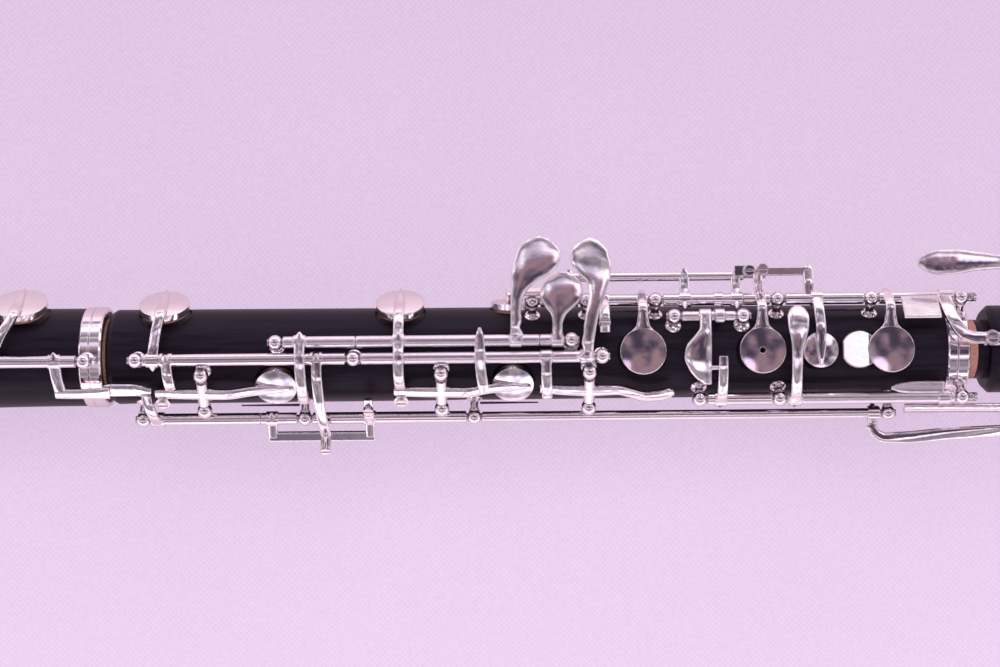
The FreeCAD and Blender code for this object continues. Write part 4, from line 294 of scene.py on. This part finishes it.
def cloth_floor():
    """A pale lilac sheet of fine woven cloth, evenly lit, with painted shade that makes it a little darker
    on the spoons' side, and a painted reflection for what the silver mirrors.
    """
    look = Look("floor_cloth")
    thread = 2.0 * math.pi / THREAD_PITCH
    axes = look.axes()
    warp = look.math("SINE", look.math("MULTIPLY", axes["X"], thread))
    weft = look.math("SINE", look.math("MULTIPLY", axes["Y"], thread))
    weave = look.math("MULTIPLY", warp, weft)
    dots = look.remap(weave, -1.0, 1.0, -0.10, 0.22)
    flecks = look.remap(look.noise(900.0, 4.0, 0.7), 0.35, 0.7, -0.08, 0.24)
    # painted shade: the cloth grows darker towards +Y, the spoons' side
    painted_falloff_shade = look.remap(axes["Y"], -0.10, 0.10, 0.0, 0.75)
    drift = look.remap(look.noise(9.0, 2.0), 0.35, 0.65, -0.06, 0.06)
    shade = look.math("ADD", look.math("ADD", dots, flecks), look.math("ADD", painted_falloff_shade, drift))
    colour = look.mixed(shade, rgb(0.845, 0.675, 0.885), rgb(0.685, 0.530, 0.710))
    muted = look.mixed(0.75, colour, rgb(0, 0, 0))

    # painted reflection, seen only by the silver: dim close to the oboe, brighter and streaked further out
    away = look.remap(look.math("ABSOLUTE", axes["Y"]), 0.02, 0.16)
    streaks = look.noise(14.0, 2.0, 0.5, look.stretched(0.6, 1.0, 1.0))
    painted_reflection_level = look.math("MULTIPLY", away, look.remap(streaks, 0.35, 0.6, 0.45, 1.0))
    painted_reflection_colour = look.mixed(painted_reflection_level, rgb(0.60, 0.42, 0.50), rgb(1.30, 1.08, 1.10))
    mirrored = look.add("ShaderNodeLightPath").outputs["Is Glossy Ray"]
    glow = look.mixed(mirrored, colour, painted_reflection_colour)
    from_above = look.math("SUBTRACT", 1.0, look.add("ShaderNodeNewGeometry").outputs["Backfacing"])
    return look.finish(Base_Color=muted, Roughness=0.9, Normal=look.bump(weave, 0.05 * MM, 0.3),
                       Emission_Color=glow, Emission_Strength=FLOOR_GLOW, Alpha=from_above)


MATERIALS = {
    "silver_plate": silver_plate("silver_plate", 0.3 * MM),
    "silver_touches": silver_plate("silver_touches", 0.75 * MM),
    "blackwood": blackwood(),
    "rod_steel": ground_steel(),
    "blued_steel": blued_steel(),
    "cork": cork(),
    "pad_skin": pad_skin(),
    "pearl": pearl(),
}


def dress(obj, slot):
    obj.data.materials.clear()
    obj.data.materials.append(MATERIALS[slot])


def dress_frame():
    """Every node takes its record's material slot; the domed touches a softer edge."""
    for part in frame["record"]["subparts"]:
        dress(nodes[part["node"]], part["material_slot"])
    for node in DOMED_TOUCHES:
        dress(nodes[node], "silver_touches")


# ---------------------------------------------------------------- small parts
def link_object(name, mesh):
    """Turns a bmesh into a linked object."""
    data = bpy.data.meshes.new(name)
    mesh.to_mesh(data)
    mesh.free()
    obj = bpy.data.objects.new(name, data)
    bpy.context.scene.collection.objects.link(obj)
    return obj


def new_piece(name, mesh, slot, body):
    """Turns a bmesh in row-frame metres into a smooth-shaded piece that rides on a body."""
    bmesh.ops.recalc_face_normals(mesh, faces=mesh.faces)
    for face in mesh.faces:
        face.smooth = True
    obj = link_object(name, mesh)
    dress(obj, slot)
    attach(obj, body)


def islands(node):
    """The separate solids of a CAD node, each as a list of points."""
    mesh = bmesh.new()
    mesh.from_mesh(nodes[node].data)
    bmesh.ops.remove_doubles(mesh, verts=mesh.verts, dist=0.001 * MM)
    unseen = set(mesh.verts)
    found = []
    while unseen:
        front = [unseen.pop()]
        group = []
        while front:
            vert = front.pop()
            group.append(vert.co.copy())
            for edge in vert.link_edges:
                other = edge.other_vert(vert)
                if other in unseen:
                    unseen.remove(other)
                    front.append(other)
        found.append(group)
    mesh.free()
    return found


def average(points):
    return sum(points, Vector()) / len(points)


def turned_disc(mesh, matrix, radius, bottom, top, segments=28):
    """A short closed cylinder between two heights on the matrix's z axis."""
    rings = []
    for height in (bottom, top):
        angles = [2 * math.pi * k / segments for k in range(segments)]
        ring = [Vector((radius * math.cos(a), radius * math.sin(a), height)) for a in angles]
        rings.append([mesh.verts.new(matrix @ point) for point in ring])
    for k in range(segments):
        after = (k + 1) % segments
        mesh.faces.new([rings[0][k], rings[0][after], rings[1][after], rings[1][k]])
    for ring in rings:
        mesh.faces.new(ring)


def raised_half(mesh, matrix, side, arc_points=11):
    """One side of a slotted head: a chord-cut half disc with a crowned top."""
    half_slot = SLOT_WIDTH / 2
    edge = math.acos(half_slot / HEAD_RADIUS)
    angles = [edge * (2 * k / (arc_points - 1) - 1) for k in range(arc_points)]
    outline = [Vector((side * HEAD_RADIUS * math.cos(a), HEAD_RADIUS * math.sin(a), 0)) for a in angles]
    crown = 0.82
    crown_drop = 0.2 * MM
    overlap = 0.1 * MM
    inward = Vector((side * half_slot * (1 - crown), 0, HEAD_HEIGHT))
    low = [point + Vector((0, 0, HEAD_HEIGHT - SLOT_DEPTH - overlap)) for point in outline]
    middle = [point + Vector((0, 0, HEAD_HEIGHT - crown_drop)) for point in outline]
    top = [point * crown + inward for point in outline]
    layers = [[mesh.verts.new(matrix @ point) for point in layer] for layer in (low, middle, top)]
    for lower, upper in zip(layers, layers[1:]):
        for k in range(arc_points):
            after = (k + 1) % arc_points
            mesh.faces.new([lower[k], lower[after], upper[after], upper[k]])
    mesh.faces.new(layers[0])
    mesh.faces.new(layers[-1])


def rod_heads():
    """The slotted heads that stand out of the lower joint's last posts, one on each long rod."""
    mesh = bmesh.new()
    for points in islands("hinge_rods"):
        centre = average(points)
        reach = [(point - centre).x for point in points]
        rod_length = max(reach) - min(reach)
        end = centre + ALONG * max(reach)
        if rod_length > LONG_ROD and end.x > SHOULDER_X + LAST_POST:
            matrix = Matrix.Translation(end) @ ALONG.to_track_quat("Z", "Y").to_matrix().to_4x4()
            turned_disc(mesh, matrix, HEAD_RADIUS, -HEAD_INSET, HEAD_HEIGHT - SLOT_DEPTH)
            for side in (1, -1):
                raised_half(mesh, matrix, side)
    new_piece("rod_heads", mesh, "rod_steel", "oboe_body")


def bevelled_slab(mesh, centre, up, size):
    """A small slab with bevelled edges: its size runs along the bore, across and up."""
    matrix = Matrix.Translation(centre) @ Matrix((ALONG, up.cross(ALONG), up)).transposed().to_4x4()
    made = bmesh.ops.create_cube(mesh, size=1.0, matrix=matrix @ Matrix.Diagonal((*size, 1.0)))
    edges = {edge for vert in made["verts"] for edge in vert.link_edges}
    bmesh.ops.bevel(mesh, geom=list(edges), offset=min(size) * 0.25, segments=2, affect="EDGES")


def bumper(name, key, start, end):
    """A cork bumper glued under the tip of a key's regulating arm."""
    tip_length = 1.6 * MM
    below_arm = 0.38 * MM
    short_of_tip = 0.9 * MM
    arm = [v.co for v in nodes[key].data.vertices if start < v.co.x - SHOULDER_X < end]
    furthest = min(point.y for point in arm)
    tip = [point for point in arm if point.y < furthest + tip_length]
    middle = average(tip)
    up = Vector((0, middle.y, middle.z)).normalized()
    across = up.cross(ALONG)
    underside = min(point.dot(up) for point in tip) - middle.dot(up)
    reach = max(across.dot(point - middle) for point in tip)
    centre = middle + up * (underside - below_arm) + across * (reach - short_of_tip)
    mesh = bmesh.new()
    bevelled_slab(mesh, centre, up, (BUMPER_LENGTH, BUMPER_WIDTH, BUMPER_THICKNESS))
    new_piece(name, mesh, "cork", key)


# ---------------------------------------------------------------- studio
def floor():
    level = cad_low.z - FLOOR_GAP
    middle = (cad_low.x + cad_high.x) / 2
    mesh = bmesh.new()
    signs = ((-1, -1), (1, -1), (1, 1), (-1, 1))
    mesh.faces.new([mesh.verts.new((middle + x * FLOOR_HALF, y * FLOOR_HALF, level)) for x, y in signs])
    obj = link_object("floor", mesh)
    obj.data.materials.append(cloth_floor())


class Room(NodeTree):
    """The world round the oboe, as a brightness and a tint for every direction."""

    def __init__(self):
        world = bpy.data.worlds.new("room")
        world.use_nodes = True
        bpy.context.scene.world = world
        super().__init__(world.node_tree, "Generated")
        axes = self.axes()
        self.height = axes["Z"]
        self.lean = self.math("ARCTAN2", axes["Y"], axes["Z"])

    def towards(self, place, edge, core):
        """1 within core degrees of a direction, falling to 0 at edge degrees."""
        inputs = {0: self.place, 1: Vector(place).normalized()}
        closeness = self.add("ShaderNodeVectorMath", inputs, operation="DOT_PRODUCT").outputs["Value"]
        return self.smooth(closeness, math.cos(math.radians(edge)), math.cos(math.radians(core)))

    def band(self, low, high, soft, amount):
        """A strip of the room along the oboe, between two angles in degrees from straight up."""
        rise = self.smooth(self.lean, math.radians(low - soft), math.radians(low + soft))
        fall = self.smooth(self.lean, math.radians(high - soft), math.radians(high + soft), 1.0, 0.0)
        return self.math("MULTIPLY", self.math("MULTIPLY", rise, fall), amount)

    def finish(self, strength, tint):
        """The room gives light and reflections; the camera itself sees a plain pale backdrop."""
        room = self.add("ShaderNodeBackground", {"Color": tint, "Strength": strength}).outputs[0]
        backdrop = self.add("ShaderNodeBackground", {"Color": BACKDROP}).outputs[0]
        seen = self.add("ShaderNodeLightPath").outputs["Is Camera Ray"]
        shown = self.add("ShaderNodeMixShader", {0: seen, 1: room, 2: backdrop}).outputs[0]
        self.add("ShaderNodeOutputWorld", {"Surface": shown})


def sky():
    """A bright cluttered room with lamps in rows, a dark figure overhead and one soft window."""
    room = Room()
    clutter = room.noise(4.5, 3.0)
    level = room.smooth(room.height, -0.05, 0.14, 0.05, 0.30)
    for band in LIGHT_BANDS:
        level = room.math("ADD", level, room.band(*band))
    level = room.math("ADD", level, room.smooth(room.height, 0.35, 0.62, 0.45, 0.0))
    walls = room.math("MULTIPLY", level, room.smooth(clutter, 0.36, 0.64, 0.45, 1.4))

    figure = room.towards((0.10, 0.14, 0.98), 25, 17)
    around = room.math("MULTIPLY", walls, room.smooth(figure, 0.0, 1.0, 1.0, 0.0))
    folds = room.math("MULTIPLY", figure, room.smooth(clutter, 0.40, 0.62, 0.07, 0.30))
    window = room.math("MULTIPLY", room.towards((0.36, 0.37, 0.85), 8, 5), 1.2)
    light = room.math("ADD", room.math("ADD", around, folds), window)

    air = room.mixed(room.smooth(clutter, 0.42, 0.58), rgb(0.95, 0.82, 1.06), rgb(1.0, 0.84, 0.94))
    clothes = room.mixed(room.smooth(clutter, 0.38, 0.64), rgb(0.86, 0.66, 1.04), rgb(1.12, 0.70, 0.80))
    room.finish(room.math("MAXIMUM", light, 0.02), room.mixed(figure, air, clothes))


def soft_light(name, place, target, size, power):
    """A round lamp that lights the oboe without showing in its silver."""
    light = bpy.data.lights.new(name, "AREA")
    light.shape = "DISK"
    light.size = size
    light.energy = power
    light.color = (1.0, 0.965, 0.99)
    obj = bpy.data.objects.new(name, light)
    obj.location = place
    obj.rotation_mode = "QUATERNION"
    obj.rotation_quaternion = (Vector(target) - Vector(place)).to_track_quat("-Z", "Y")
    obj.visible_glossy = False
    bpy.context.scene.collection.objects.link(obj)


def camera():
    """Straight above the lower joint, turned half a degree."""
    data = bpy.data.cameras.new("camera")
    data.sensor_width = SENSOR_WIDTH
    data.lens = LENS
    data.clip_start = 0.01
    obj = bpy.data.objects.new("camera", data)
    obj.matrix_world = Matrix.Translation(CAMERA_PLACE) @ Matrix.Rotation(CAMERA_TURN, 4, "Z")
    bpy.context.scene.collection.objects.link(obj)
    bpy.context.scene.camera = obj


dress_frame()
rod_heads()
for bumper_name, arm in BUMPER_ARMS.items():
    bumper(bumper_name, *arm)

floor()
sky()
soft_light("overhead", (0.25, 0.5, 1.3), (0.25, 0, 0), 1.2, 14.0)
soft_light("front", (0.6, -0.7, 1.0), (0.3, 0, 0), 1.0, 5.0)
camera()
bpy.context.scene.view_settings.view_transform = "Standard"
